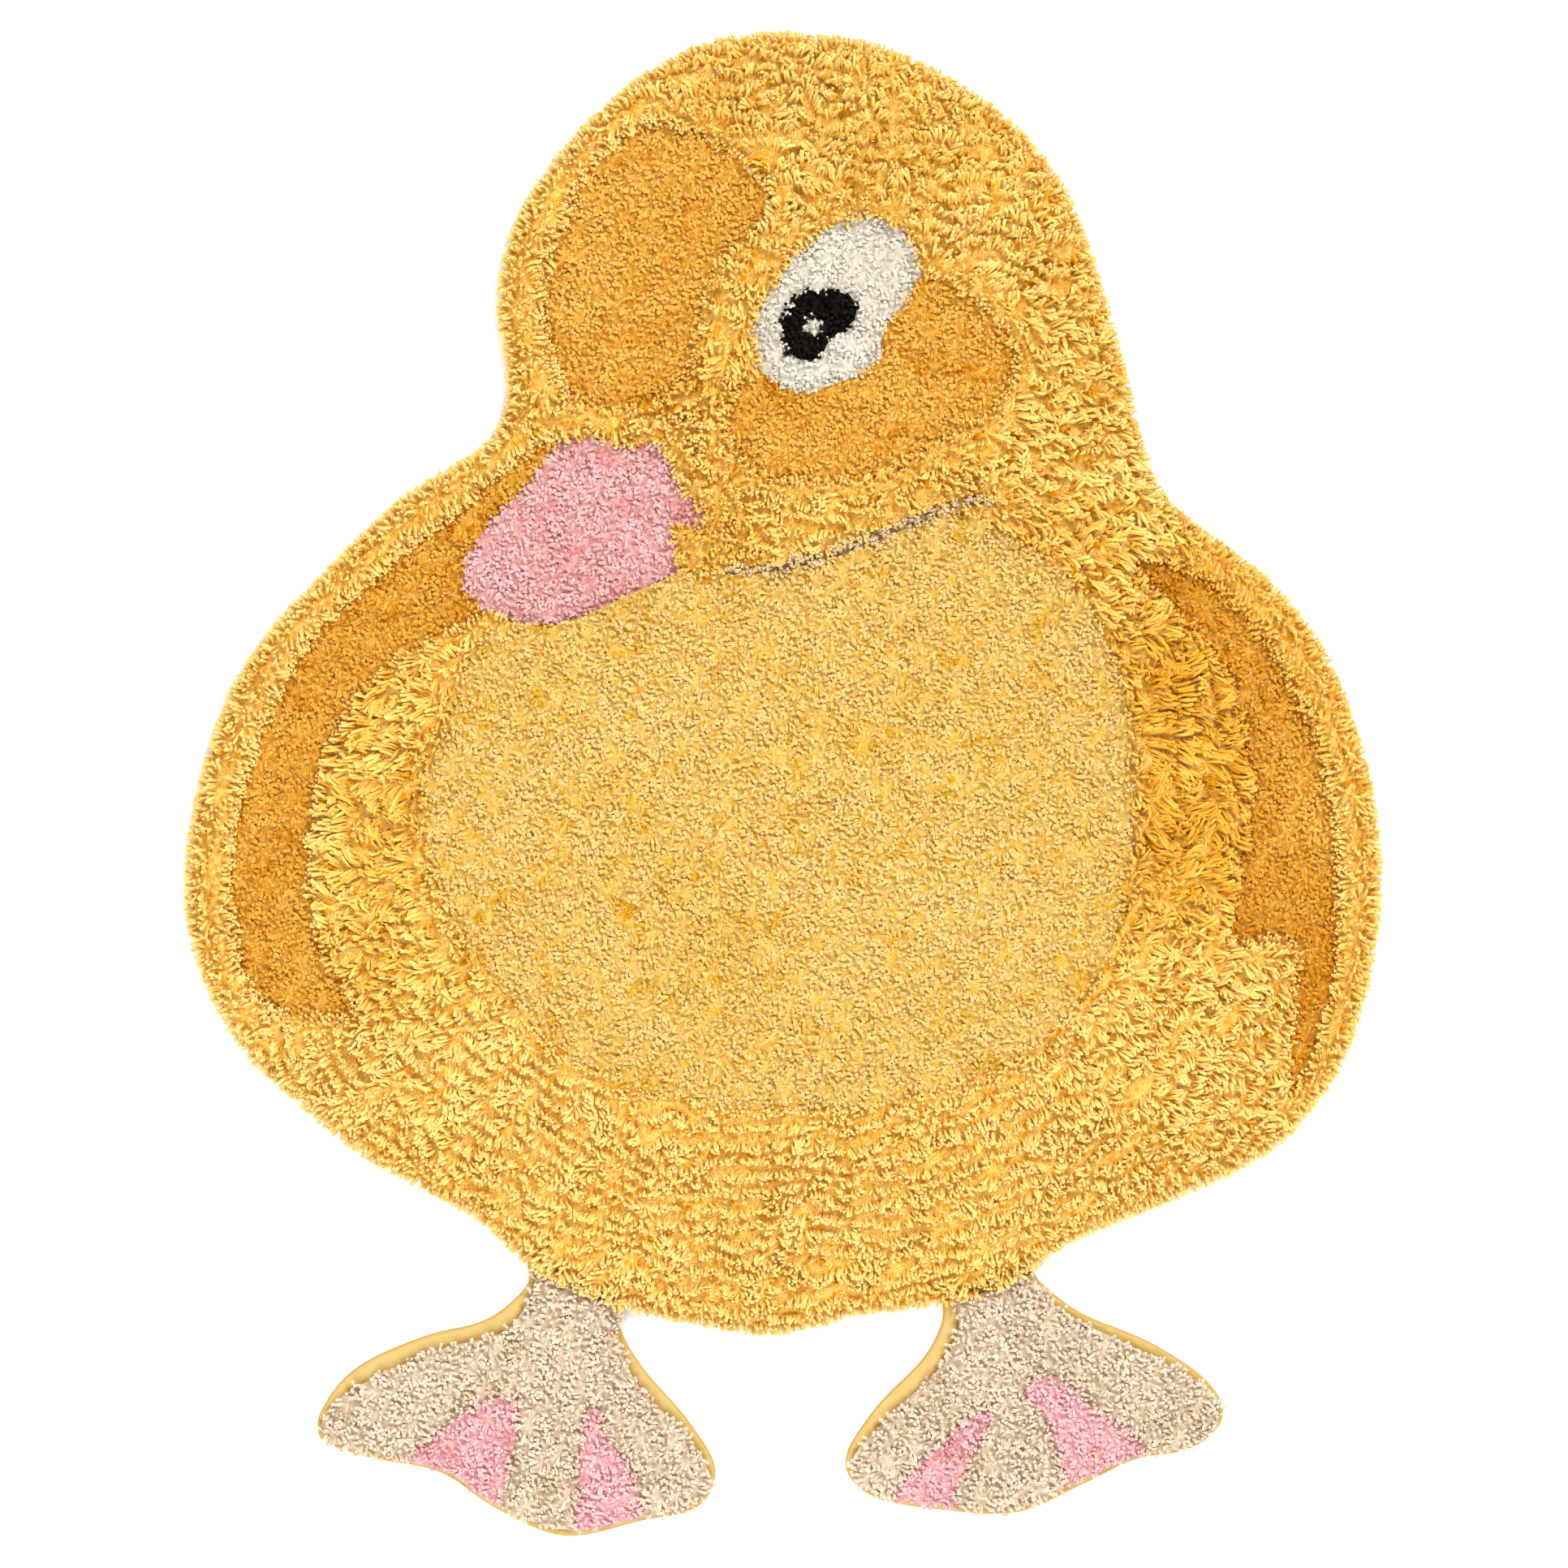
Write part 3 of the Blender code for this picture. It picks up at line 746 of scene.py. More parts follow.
def new_group(name: str, inputs: dict[str, float | Colour], outputs: dict[str, str]) -> bpy.types.NodeTree:
    """An empty node group with named sockets.

    Args:
        name: The group's name.
        inputs: Each input's default: a number, or a colour.
        outputs: Each output's socket type.

    Returns:
        The group.
    """
    group = bpy.data.node_groups.new(name, "ShaderNodeTree")
    for label, default in inputs.items():
        plain = isinstance(default, float)
        kind = "NodeSocketFloat" if plain else "NodeSocketColor"
        socket = group.interface.new_socket(label, in_out="INPUT", socket_type=kind)
        socket.default_value = default if plain else (*default, 1.0)
    for label, kind in outputs.items():
        group.interface.new_socket(label, in_out="OUTPUT", socket_type=kind)
    return group


def new_material(name: str) -> tuple[bpy.types.Material, Net, bpy.types.Node]:
    """Makes an empty node material.

    Args:
        name: The material's name.

    Returns:
        The material, its net and its Principled shader.
    """
    material = bpy.data.materials.new(name)
    material.use_nodes = True
    return material, Net(material.node_tree), material.node_tree.nodes["Principled BSDF"]


class NodeGroups:
    """The shader node groups of the yarns and the canvas, each built once."""

    def __init__(self) -> None:
        """Builds the groups."""
        self.tone = self._yarn_tone()
        self.twist = self._yarn_twist()
        self.weave = self._canvas_weave()

    @staticmethod
    def _yarn_tone() -> bpy.types.NodeTree:
        """Yarn colour: painted shade at its root, a painted highlight at its tip, each end a little
        different.

        An end's tone, partly random and partly painted light, makes it paler or deeper. An end whose
        tone is far under 0 stands in a crevice, and gets painted shade, darker still. A bed shows
        lying strands, with the deep colour between them and a darkening all over as painted shade.

        Returns:
            The group.
        """
        group = new_group(
            "yarn_tone",
            {"Deep": (0.4, 0.2, 0.02), "Yarn": (0.9, 0.6, 0.2), "Tip": (0.95, 0.75, 0.4),
             "Uneven": 0.3, "Fade": 0.5},
            {"Color": "NodeSocketColor", "Roughness": "NodeSocketFloat"},
        )
        net = Net(group)
        given, out = net.add("NodeGroupInput").outputs, net.add("NodeGroupOutput").inputs
        around, up = net.yarn_uv()
        tone = net.add("ShaderNodeAttribute", attribute_name="tone").outputs["Fac"]
        broad = net.math("SUBTRACT", net.noise(7.0, 3.0), 0.5)
        # The tone attribute holds random tone and painted light; Uneven scales it.
        shift = net.math("MULTIPLY_ADD", broad, given["Fade"], net.math("MULTIPLY", tone, given["Uneven"]))
        # Painted shade: low on the end, the deep colour stands for the shade deep in the pile.
        clear = net.curve(up, (0.0, 0.2), (1.0, 1.0), (0.2, 0.75), (0.5, 0.97))
        body = net.mix(clear, given["Deep"], given["Yarn"])
        # Painted highlight: towards the tip the end turns pale, as the lit top of the pile.
        cut = net.curve(up, (0.0, 0.0), (1.0, 0.75), (0.5, 0.06), (0.8, 0.42))
        pale = net.mix(net.math("ADD", cut, shift), body, given["Tip"])
        # Painted shade: a tone far under 0 mixes the end towards the deep colour.
        dull = net.math("MAXIMUM", net.math("MULTIPLY", shift, -1.2), 0.0)
        # Painted shade in crevices: past that, the end darkens towards black.
        shade = net.math("MULTIPLY_ADD", dull, 0.22, -0.22, clamp=True)
        end = net.mix(shade, net.mix(dull, pale, given["Deep"]), BLACK)
        # The bed: the deep colour between its strands and its darkening towards black are painted shade.
        lying = net.mix(0.5, given["Yarn"], given["Tip"])
        bed = net.mix(0.12, net.mix(net.strands(), given["Deep"], lying), BLACK)
        net.put(out["Color"], net.mix(net.bedded(around), end, bed))
        net.put(out["Roughness"], net.math("MULTIPLY_ADD", net.noise(300.0), 0.2, 0.72))
        return group

    @staticmethod
    def _yarn_twist() -> bpy.types.NodeTree:
        """The plies of a loosely spun yarn, as slanting ridges, with fine loose fibre.

        On a bed the height is that of its strands, six times as much.

        Returns:
            The group.
        """
        group = new_group(
            "yarn_twist", {"Turns": 2.5, "Plies": 3.0, "Fibre": 0.6}, {"Height": "NodeSocketFloat"}
        )
        net = Net(group)
        given, out = net.add("NodeGroupInput").outputs, net.add("NodeGroupOutput").inputs
        around, up = net.yarn_uv()
        climb = net.math("MULTIPLY_ADD", up, given["Turns"], net.math("MULTIPLY", around, given["Plies"]))
        wave = net.math("SINE", net.math("MULTIPLY", climb, math.tau))
        ply = net.math("MULTIPLY_ADD", net.noise(900.0), given["Fibre"], net.math("MULTIPLY", wave, 0.5))
        apart = net.math("SUBTRACT", net.math("MULTIPLY", net.strands(), 6.0), ply)
        net.put(out["Height"], net.math("MULTIPLY_ADD", apart, net.bedded(around), ply))
        return group

    @staticmethod
    def _canvas_weave() -> bpy.types.NodeTree:
        """A fine twill: slanting ribs crossed by faint threads, with slubs in the colour.

        The cloth gets painted shade where its tone is over 0: at the rolled outer fold, and as
        the pile's painted shadow along the seam.

        Returns:
            The group.
        """
        group = new_group(
            "canvas_weave",
            {"Cloth": (0.9, 0.6, 0.2), "Worn": (0.95, 0.7, 0.35), "Fold": (0.6, 0.3, 0.05),
             "Threads Per Metre": 1100.0},
            {"Color": "NodeSocketColor", "Height": "NodeSocketFloat", "Roughness": "NodeSocketFloat"},
        )
        net = Net(group)
        given, out = net.add("NodeGroupInput").outputs, net.add("NodeGroupOutput").inputs
        x, y = net.parts(net.add("ShaderNodeTexCoord").outputs["Object"])
        turns = net.math("MULTIPLY", given["Threads Per Metre"], math.pi)
        warp = net.math("SINE", net.math("MULTIPLY", x, turns))
        rib = net.math("SINE", net.math("MULTIPLY", net.math("ADD", x, y), turns))
        height = net.math("MULTIPLY_ADD", rib, 0.65, net.math("MULTIPLY", warp, 0.35))
        slub = net.curve(net.noise(60.0, 6.0), (0.0, 0.0), (1.0, 1.0), (0.42, 0.1), (0.62, 0.8))
        rubbed = net.math("MULTIPLY_ADD", height, 0.12, net.math("MULTIPLY", slub, 0.55))
        plain = net.mix(rubbed, given["Cloth"], given["Worn"])
        # Painted shade at the outer fold and the pile's painted shadow along the seam.
        fold = net.add("ShaderNodeAttribute", attribute_name="tone").outputs["Fac"]
        net.put(out["Color"], net.mix(fold, plain, given["Fold"]))
        net.put(out["Height"], height)
        net.put(out["Roughness"], net.math("MULTIPLY_ADD", slub, 0.12, 0.76))
        return group


@dataclass(frozen=True)
class YarnFinish:
    """A cotton yarn: its colour with painted shade at the root, along it, and with a painted highlight at the
    cut tip.
    """

    slot: Slot
    # Painted shade at the root, in crevices and in a bed's gaps.
    deep: Colour
    yarn: Colour
    # Painted highlight at the cut tip.
    tip: Colour
    uneven: float = 0.12
    fade: float = 0.35
    sheen: float = 0.02

    def build(self, groups: NodeGroups) -> bpy.types.Material:
        """Makes the finish.

        Args:
            groups: The node groups that it places.

        Returns:
            The material.
        """
        material, net, shader = new_material(self.slot.value)
        shader.inputs["Sheen Weight"].default_value = self.sheen
        shader.inputs["Sheen Roughness"].default_value = 0.5
        shader.inputs["Sheen Tint"].default_value = (*self.tip, 1.0)
        shader.inputs["Specular IOR Level"].default_value = 0.02
        tone = net.add("ShaderNodeGroup", node_tree=groups.tone)
        for name, colour in (("Deep", self.deep), ("Yarn", self.yarn), ("Tip", self.tip)):
            tone.inputs[name].default_value = (*colour, 1.0)
        tone.inputs["Uneven"].default_value = self.uneven
        tone.inputs["Fade"].default_value = self.fade
        twist = net.add("ShaderNodeGroup", node_tree=groups.twist)
        net.clothe(shader, tone, twist, strength=0.3, depth=0.0002)
        return material


@dataclass(frozen=True)
class CanvasFinish:
    """The yellow cotton canvas of the cloth and its hem."""

    cloth: Colour = (0.58, 0.40, 0.13)
    worn: Colour = (0.63, 0.46, 0.18)
    # Painted shade at the rolled outer fold and the pile's painted shadow along the seam.
    fold: Colour = (0.50, 0.29, 0.05)

    def build(self, groups: NodeGroups) -> bpy.types.Material:
        """Makes the finish.

        Args:
            groups: The node groups that it places.

        Returns:
            The material.
        """
        material, net, shader = new_material(Slot.CANVAS.value)
        shader.inputs["Sheen Weight"].default_value = 0.1
        shader.inputs["Specular IOR Level"].default_value = 0.2
        weave = net.add("ShaderNodeGroup", node_tree=groups.weave)
        for name, colour in (("Cloth", self.cloth), ("Worn", self.worn), ("Fold", self.fold)):
            weave.inputs[name].default_value = (*colour, 1.0)
        net.clothe(shader, weave, weave, strength=0.35, depth=0.0003)
        return material


YARNS = (
    # Each row: slot, deep colour (painted shade), yarn colour and tip colour (painted highlight).
    YarnFinish(Slot.SHAG, (0.71, 0.315, 0.004), (0.87, 0.60, 0.13), (0.89, 0.65, 0.235)),
    YarnFinish(Slot.BELLY, (0.67, 0.365, 0.010), (0.76, 0.535, 0.15), (0.78, 0.575, 0.245)),
    YarnFinish(Slot.GOLD, (0.56, 0.205, 0.002), (0.743, 0.425, 0.058), (0.765, 0.47, 0.120)),
    YarnFinish(Slot.PINK, (0.66, 0.23, 0.20), (0.74, 0.45, 0.435), (0.76, 0.50, 0.495)),
    YarnFinish(Slot.WEB, (0.64, 0.27, 0.26), (0.80, 0.477, 0.485), (0.82, 0.535, 0.545)),
    YarnFinish(Slot.CREAM, (0.67, 0.60, 0.48), (0.715, 0.67, 0.58), (0.735, 0.70, 0.63)),
    YarnFinish(Slot.BLACK, (0.004, 0.003, 0.002), (0.010, 0.008, 0.006), (0.020, 0.017, 0.014), sheen=0.0),
    YarnFinish(Slot.TAUPE, (0.50, 0.35, 0.17), (0.66, 0.50, 0.29), (0.72, 0.57, 0.37)),
    YarnFinish(Slot.BEIGE, (0.60, 0.47, 0.31), (0.745, 0.62, 0.475), (0.77, 0.665, 0.53)),
)


# --- The frame's solids, read as plane fields ---------------------------------


@dataclass
class Patch:
    """One of the frame's flat solids: its name, outline loops and heights, in mm."""

    name: str
    loops: list[Array]
    low: float
    high: float

    @classmethod
    def read(cls, node: bpy.types.Object) -> Patch:
        """Merges a node's loose triangles and chains the edge of its underside.

        Args:
            node: The node's object.

        Returns:
            The solid.
        """
        mesh = node.data
        places = np.empty(len(mesh.vertices) * 3, np.float32)
        mesh.vertices.foreach_get("co", places)
        mesh.calc_loop_triangles()
        corners = np.empty(len(mesh.loop_triangles) * 3, np.int32)
        mesh.loop_triangles.foreach_get("vertices", corners)
        rounded = np.round(places.reshape(-1, 3).astype(float) / MM, 3)
        points, index = np.unique(rounded, axis=0, return_inverse=True)
        triangles = index.reshape(-1)[corners].reshape(-1, 3)
        a, b, c = (points[triangles[:, k]] for k in range(3))
        normal = unit(np.cross(b - a, c - a))
        under = triangles[normal[:, 2] < -0.2]
        return cls(node.name, cls._chain(under, points), points[:, 2].min(), points[:, 2].max())

    @staticmethod
    def _chain(triangles: Array, points: Array) -> list[Array]:
        """Chains the closed loops round down-facing triangles.

        Args:
            triangles: Three point numbers each.
            points: The points.

        Returns:
            The loops, the outer one first, with their inside on the left.
        """
        edges = {(int(t[k]), int(t[k - 1])) for t in triangles for k in range(3)}
        after = dict(sorted((a, b) for a, b in edges if (b, a) not in edges))
        loops = []
        while after:
            here = min(after)
            chain = []
            while here in after:
                chain.append(here)
                here = after.pop(here)
            loops.append(points[chain, :2])
        return sorted(loops, key=signed_area, reverse=True)


# --- Tufting -----------------------------------------------------------------


# How far a root is shaken from its place in the grid, as a share of the spacing.
ROOT_SHAKE = 0.32


@dataclass
class Clumps(Rows):
    """Tufts of yarn whose ends share a place, a heading, a curl, a height and a tone."""

    middle: Array
    heading: Array
    curl: Array
    bend: Array
    spread: Array
    rise: Array
    tone: Array

    @classmethod
    def scattered(cls, middle: Array, rng: np.random.Generator) -> Clumps:
        """Makes clumps, each turned, curled, gathered and raised at random.

        Args:
            middle: Their places.
            rng: Source of the rest.

        Returns:
            The clumps.
        """
        count = len(middle)
        return cls(
            middle=middle,
            heading=rng.uniform(-math.pi, math.pi, count),
            curl=rng.uniform(-math.pi, math.pi, count),
            bend=rng.uniform(0.1, 1.0, count),
            spread=rng.uniform(0.2, 1.4, count),
            rise=rng.normal(0.0, 1.0, count),
            tone=rng.normal(0.0, 0.5, count),
        )


def pile_bed(loops: list[Array], rng: np.random.Generator, height: Callable[[Array], Array]) -> MeshArrays:
    """The low slab that a field's yarn ends stand on.

    Args:
        loops: The bed's outline and its holes.
        rng: Source of the shaken points inside it.
        height: Gives the top's height at each point.

    Returns:
        The slab, from just inside the cloth up to that height.
    """
    fill = shaken_grid(loops, 9.0, 0.2, rng)
    if len(fill):
        fill = fill[nearest_edge(fill, loops)[0] > 4.0]
    return slab(loops, fill, height(np.vstack([*loops, fill])), CLOTH_TOP)


@dataclass(frozen=True)
class ShortPile:
    """A field of short cut pile, whose ends bend over at random within small tufts.

    Sizes are in mm. spacing, radius and length are those of the yarn ends, and lean
    is how far they bend over, in radians. tuft is the distance between tufts, and
    crack is how far the pile parts along its cracks, whose ends get painted shade. At its
    edge the pile leans outward, droops, or climbs a bank to the shag. lift raises the
    whole field, the shade setting darkens it with painted shade, and it is split into parts.
    """

    node: str
    slot: Slot
    spacing: float = 3.5
    radius: float = 1.4
    length: float = 8.0
    lean: float = 1.05
    tuft: float = 7.5
    crack: float = 1.4
    outward: float = 0.0
    droop: float = 0.0
    lift: float = 0.0
    bank: float = 0.0
    shade: float = 0.0
    parts: int = 1
    root_depth: float = 6.0
    bed_depth: float = 5.1

    def dress(self, patch: Patch, materials: dict[Slot, bpy.types.Material]) -> list[bpy.types.Object]:
        """Tufts the field and stands its ends on a bed.

        Args:
            patch: The field's outline.
            materials: Every slot's material.

        Returns:
            The field's objects, which replace its node.
        """
        rng = np.random.default_rng(seed_of(self.node))
        bed = pile_bed(patch.loops, rng, lambda plan: self._bed_top(plan, patch))
        ends = self._ends(patch, rng)
        made = []
        for at, zone in enumerate(bands(ends.root[:, 1], self.parts)):
            meshes = [ends.subset(zone).mesh()]
            if at == 0:
                meshes.append(bed)
            name = f"{self.node}_yarn" if self.parts == 1 else f"{self.node}_yarn_{at + 1}"
            made.append(finished(name, MeshArrays.joined(meshes), self.node, self.slot, materials))
        return made

    def _bed_top(self, plan: Array, patch: Patch) -> Array:
        """The bed's height: some way under the tips, and lower where the pile droops.

        Args:
            plan: Places in the plane.
            patch: The field's outline.

        Returns:
            A height for each place.
        """
        distance = nearest_edge(plan, patch.loops)[0]
        top = patch.high - self.bed_depth + self.lift + self._banked(distance)
        top -= 1.4 * self._drooped(distance)
        return top + 0.3 * self._ripple(0, 30.0, plan)

    def _ripple(self, number: int, wavelength: float, points: Array, stretch: float = 1.0) -> Array:
        """The field's own ripple of a number, at each point."""
        return Ripple(seed_of(self.node) + number, wavelength, stretch).at(points)

    def _drooped(self, distance: Array) -> Array:
        """How far the pile sinks towards its edge, by the distance from it."""
        return self.droop * (1.0 - smoothstep(distance, 0.0, 7.0))

    def _banked(self, distance: Array) -> Array:
        """How far the pile climbs towards the shag, by the distance from its edge."""
        return self.bank * (1.0 - smoothstep(distance, 0.0, 26.0))

    def _ends(self, patch: Patch, rng: np.random.Generator) -> YarnEnds:
        """The field's yarn ends: a shaken grid drawn towards tufts and off the cracks.

        A crack runs where a ripple drawn out along x is near zero, and another
        ripple says how far it is open. Headings swirl slowly over the field, turn
        with each tuft, and stray a little from one end to the next.

        Args:
            patch: The field's outline.
            rng: Source of everything random.

        Returns:
            The yarn ends.
        """
        root = shaken_grid(patch.loops, self.spacing, ROOT_SHAKE, rng)
        clumps = Clumps.scattered(shaken_grid([wide_box(patch)], self.tuft, 0.4, rng), rng)
        tuft = clumps.subset(nearest_point(root, clumps.middle))
        offset = root - tuft.middle
        root = root - 0.06 * offset
        line = self._ripple(1, 26.0, root, stretch=2.6)
        open_here = smoothstep(self._ripple(2, 50.0, root, stretch=1.5), -0.2, 0.6)
        part = np.sign(line) * np.exp(-((line / 0.2) ** 2)) * open_here
        root[:, 1] += self.crack * part
        distance, way = nearest_edge(root, patch.loops)
        count = len(root)
        heading = 2.2 * self._ripple(3, 45.0, root) + 0.6 * tuft.heading + rng.normal(0.0, 0.6, count)
        calm = self.lean * (0.6 + 0.4 * smoothstep(distance, 1.0, 6.5))
        lean = pointing(heading) * (calm * rng.uniform(0.75, 1.15, count))[:, None]
        lean -= 0.3 * offset / self.tuft
        near = 1.0 - smoothstep(distance, 0.0, 14.0)
        lean += self.outward * near[:, None] * way
        size = np.linalg.norm(lean, axis=1)
        height = patch.high - self.root_depth + self.lift + 0.35 * tuft.rise - 1.4 * np.abs(part)
        height += self._banked(distance) - self._drooped(distance)
        broad = self._ripple(4, 170.0, root) + 0.6 * self._ripple(5, 60.0, root)
        # Painted shade: darker along open cracks and over the whole field by its shade setting, beside a
        # random broad tone.
        tone = 0.8 * broad - self.shade + tuft.tone - 7.0 * np.abs(part)
        return YarnEnds(
            root=np.column_stack([root, height]),
            heading=np.arctan2(lean[:, 1], lean[:, 0]),
            lean_root=size * 0.55,
            lean_tip=np.minimum(size * 1.35, MOST_LEAN),
            hook_heading=rng.uniform(-math.pi, math.pi, count),
            hook=rng.uniform(0.0, 0.5, count),
            length=self.length * rng.uniform(0.85, 1.15, count),
            radius=self.radius * rng.uniform(0.85, 1.15, count),
            phase=rng.uniform(0.0, math.tau, count),
            tone=tone + rng.normal(0.0, 0.5, count),
            ground=np.full(count, CLOTH_TOP),
        )


def wide_box(patch: Patch) -> Array:
    """A field's bounding box, 10 mm larger all round, so that each edge has its tufts.

    Args:
        patch: The field.

    Returns:
        The box's four corners.
    """
    corners = np.vstack(patch.loops)
    (x0, y0), (x1, y1) = corners.min(axis=0) - 10.0, corners.max(axis=0) + 10.0
    return np.array([(x0, y0), (x1, y0), (x1, y1), (x0, y1)])


def outer_loops(patches: dict[str, Patch], *beginnings: str) -> list[Array]:
    """The outer loops of the patches whose names begin in one of these ways."""
    return [patch.loops[0] for name, patch in patches.items() if name.startswith(beginnings)]


def seed_of(name: str) -> int:
    """A fixed number for a name."""
    return SEED + sum(ord(letter) * (at + 1) for at, letter in enumerate(name))


def bands(values: Array, count: int) -> list[Array]:
    """Parts values into bands of about as many members each.

    Args:
        values: The values, in any order.
        count: How many bands there are.

    Returns:
        A mask for each band, from the lowest up.
    """
    cuts = np.quantile(values, np.linspace(0.0, 1.0, count + 1)[1:-1])
    zone = np.searchsorted(cuts, values)
    return [zone == at for at in range(count)]


def finished(
    name: str,
    mesh: MeshArrays,
    node: str,
    slot: Slot,
    materials: dict[Slot, bpy.types.Material],
    smooth: bool = False,
) -> bpy.types.Object:
    """Makes a mesh a piece of the rug, in place of its node.

    Args:
        name: The piece's name.
        mesh: Its mesh.
        node: The node that it replaces.
        slot: Its material slot.
        materials: Every slot's material.
        smooth: Whether it is shaded smoothly.

    Returns:
        The piece.
    """
    made = mesh.make_object(name, materials[slot], smooth)
    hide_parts(node)
    return made


def lean_for(reach: Array, length: Array) -> Array:
    """The mean lean, in radians, at which a curved end reaches so far sideways."""
    return np.arcsin(np.clip(1.05 * reach / length, 0.0, 0.98))


@dataclass
class Lay:
    """How yarn ends lie: lean vectors in radians, lengths and root heights in mm."""

    lean: Array
    length: Array
    height: Array

    def blend(self, share: Array, lean: Array, length: Array, height: Array) -> None:
        """Moves each end's lay a share of the way to another one.

        Args:
            share: How far each end's lay moves, from 0 to 1.
            lean: The other leans.
            length: The other lengths.
            height: The other heights.
        """
        self.lean += share[:, None] * (lean - self.lean)
        self.length += share * (length - self.length)
        self.height += share * (height - self.height)


@dataclass(frozen=True)
class Comb:
    """A place where the shag lies one way: its middle and reach, heading and lean."""

    x: float
    y: float
    reach: float
    heading: float
    lean: float
    length: float


# Columns: x and y in mm from the rug's middle, reach in mm, heading in degrees
# anticlockwise from +X, lean in degrees from upright, length of the yarn in mm.
COMBS = (
    Comb(22, 540, 110, 92, 36, 19),
    Comb(-150, 520, 60, 130, 36, 19),
    Comb(183, 480, 80, 60, 40, 19),
    Comb(247, 353, 60, 345, 48, 21),
    Comb(267, 204, 60, 12, 58, 23),
    Comb(200, 250, 50, 350, 42, 20),
    Comb(-43, 346, 40, 250, 42, 20),
    Comb(54, 225, 60, 265, 28, 18),
    Comb(-282, 75, 50, 205, 50, 20),
    Comb(-333, -41, 70, 180, 58, 20),
    Comb(-300, -120, 60, 205, 54, 20),
    Comb(-268, -196, 60, 226, 54, 20),
    Comb(-360, -200, 60, 215, 30, 18),
    Comb(-150, -300, 80, 245, 34, 18),
    Comb(-20, -340, 110, 268, 30, 18),
    Comb(120, -320, 80, 285, 32, 18),
    Comb(235, -205, 50, 310, 44, 20),
    Comb(344, -209, 60, 340, 46, 21),
    Comb(300, -90, 60, 350, 56, 20),
    Comb(312, 30, 70, 355, 60, 21),
    Comb(300, 120, 50, 5, 56, 20),
)


SHORT_BESIDE_SHAG = ("face", "cheek", "eye_white", "wing", "throat", "foot")

# Where the tips hang further over the rim, or less far: x, y, reach and way out in mm.
OVERHANGS = (
    (-395, -254, 50, -6.0),
    (-251, 262, 35, 2.0),
    (-342, 198, 45, 1.5),
    (341, 198, 40, -3.0),
    (200, -383, 45, -4.0),
)


def turned(vectors: Array, angle: Array) -> Array:
    """Turns plane vectors.

    Args:
        vectors: The vectors, one row each.
        angle: Each one's turn, anticlockwise in radians.

    Returns:
        The turned vectors.
    """
    cosine, sine = np.cos(angle), np.sin(angle)
    x, y = vectors[:, 0], vectors[:, 1]
    return np.column_stack([x * cosine - y * sine, x * sine + y * cosine])


@dataclass
class Stand:
    """Where the shag's roots stand, one row each.

    A distance is in mm, and its way is the unit vector towards that edge. The rest,
    apart from a root's offset from its clump, are shares: how far a root belongs to
    the rim, to the edge of a short field or to neither, to the narrow bands, the
    rings or the body's bottom, and where it stands between two tufting rows.
    """

    root: Array
    offset: Array
    to_rim: Array
    rim_way: Array
    to_gold: Array
    gold_way: Array
    to_belly: Array
    belly_way: Array
    rim: Array
    gold: Array
    free: Array
    banded: Array
    ring: Array
    bottom: Array
    crest: Array
    gap: Array
    aside: Array
    to_row: Array
    growth: Array


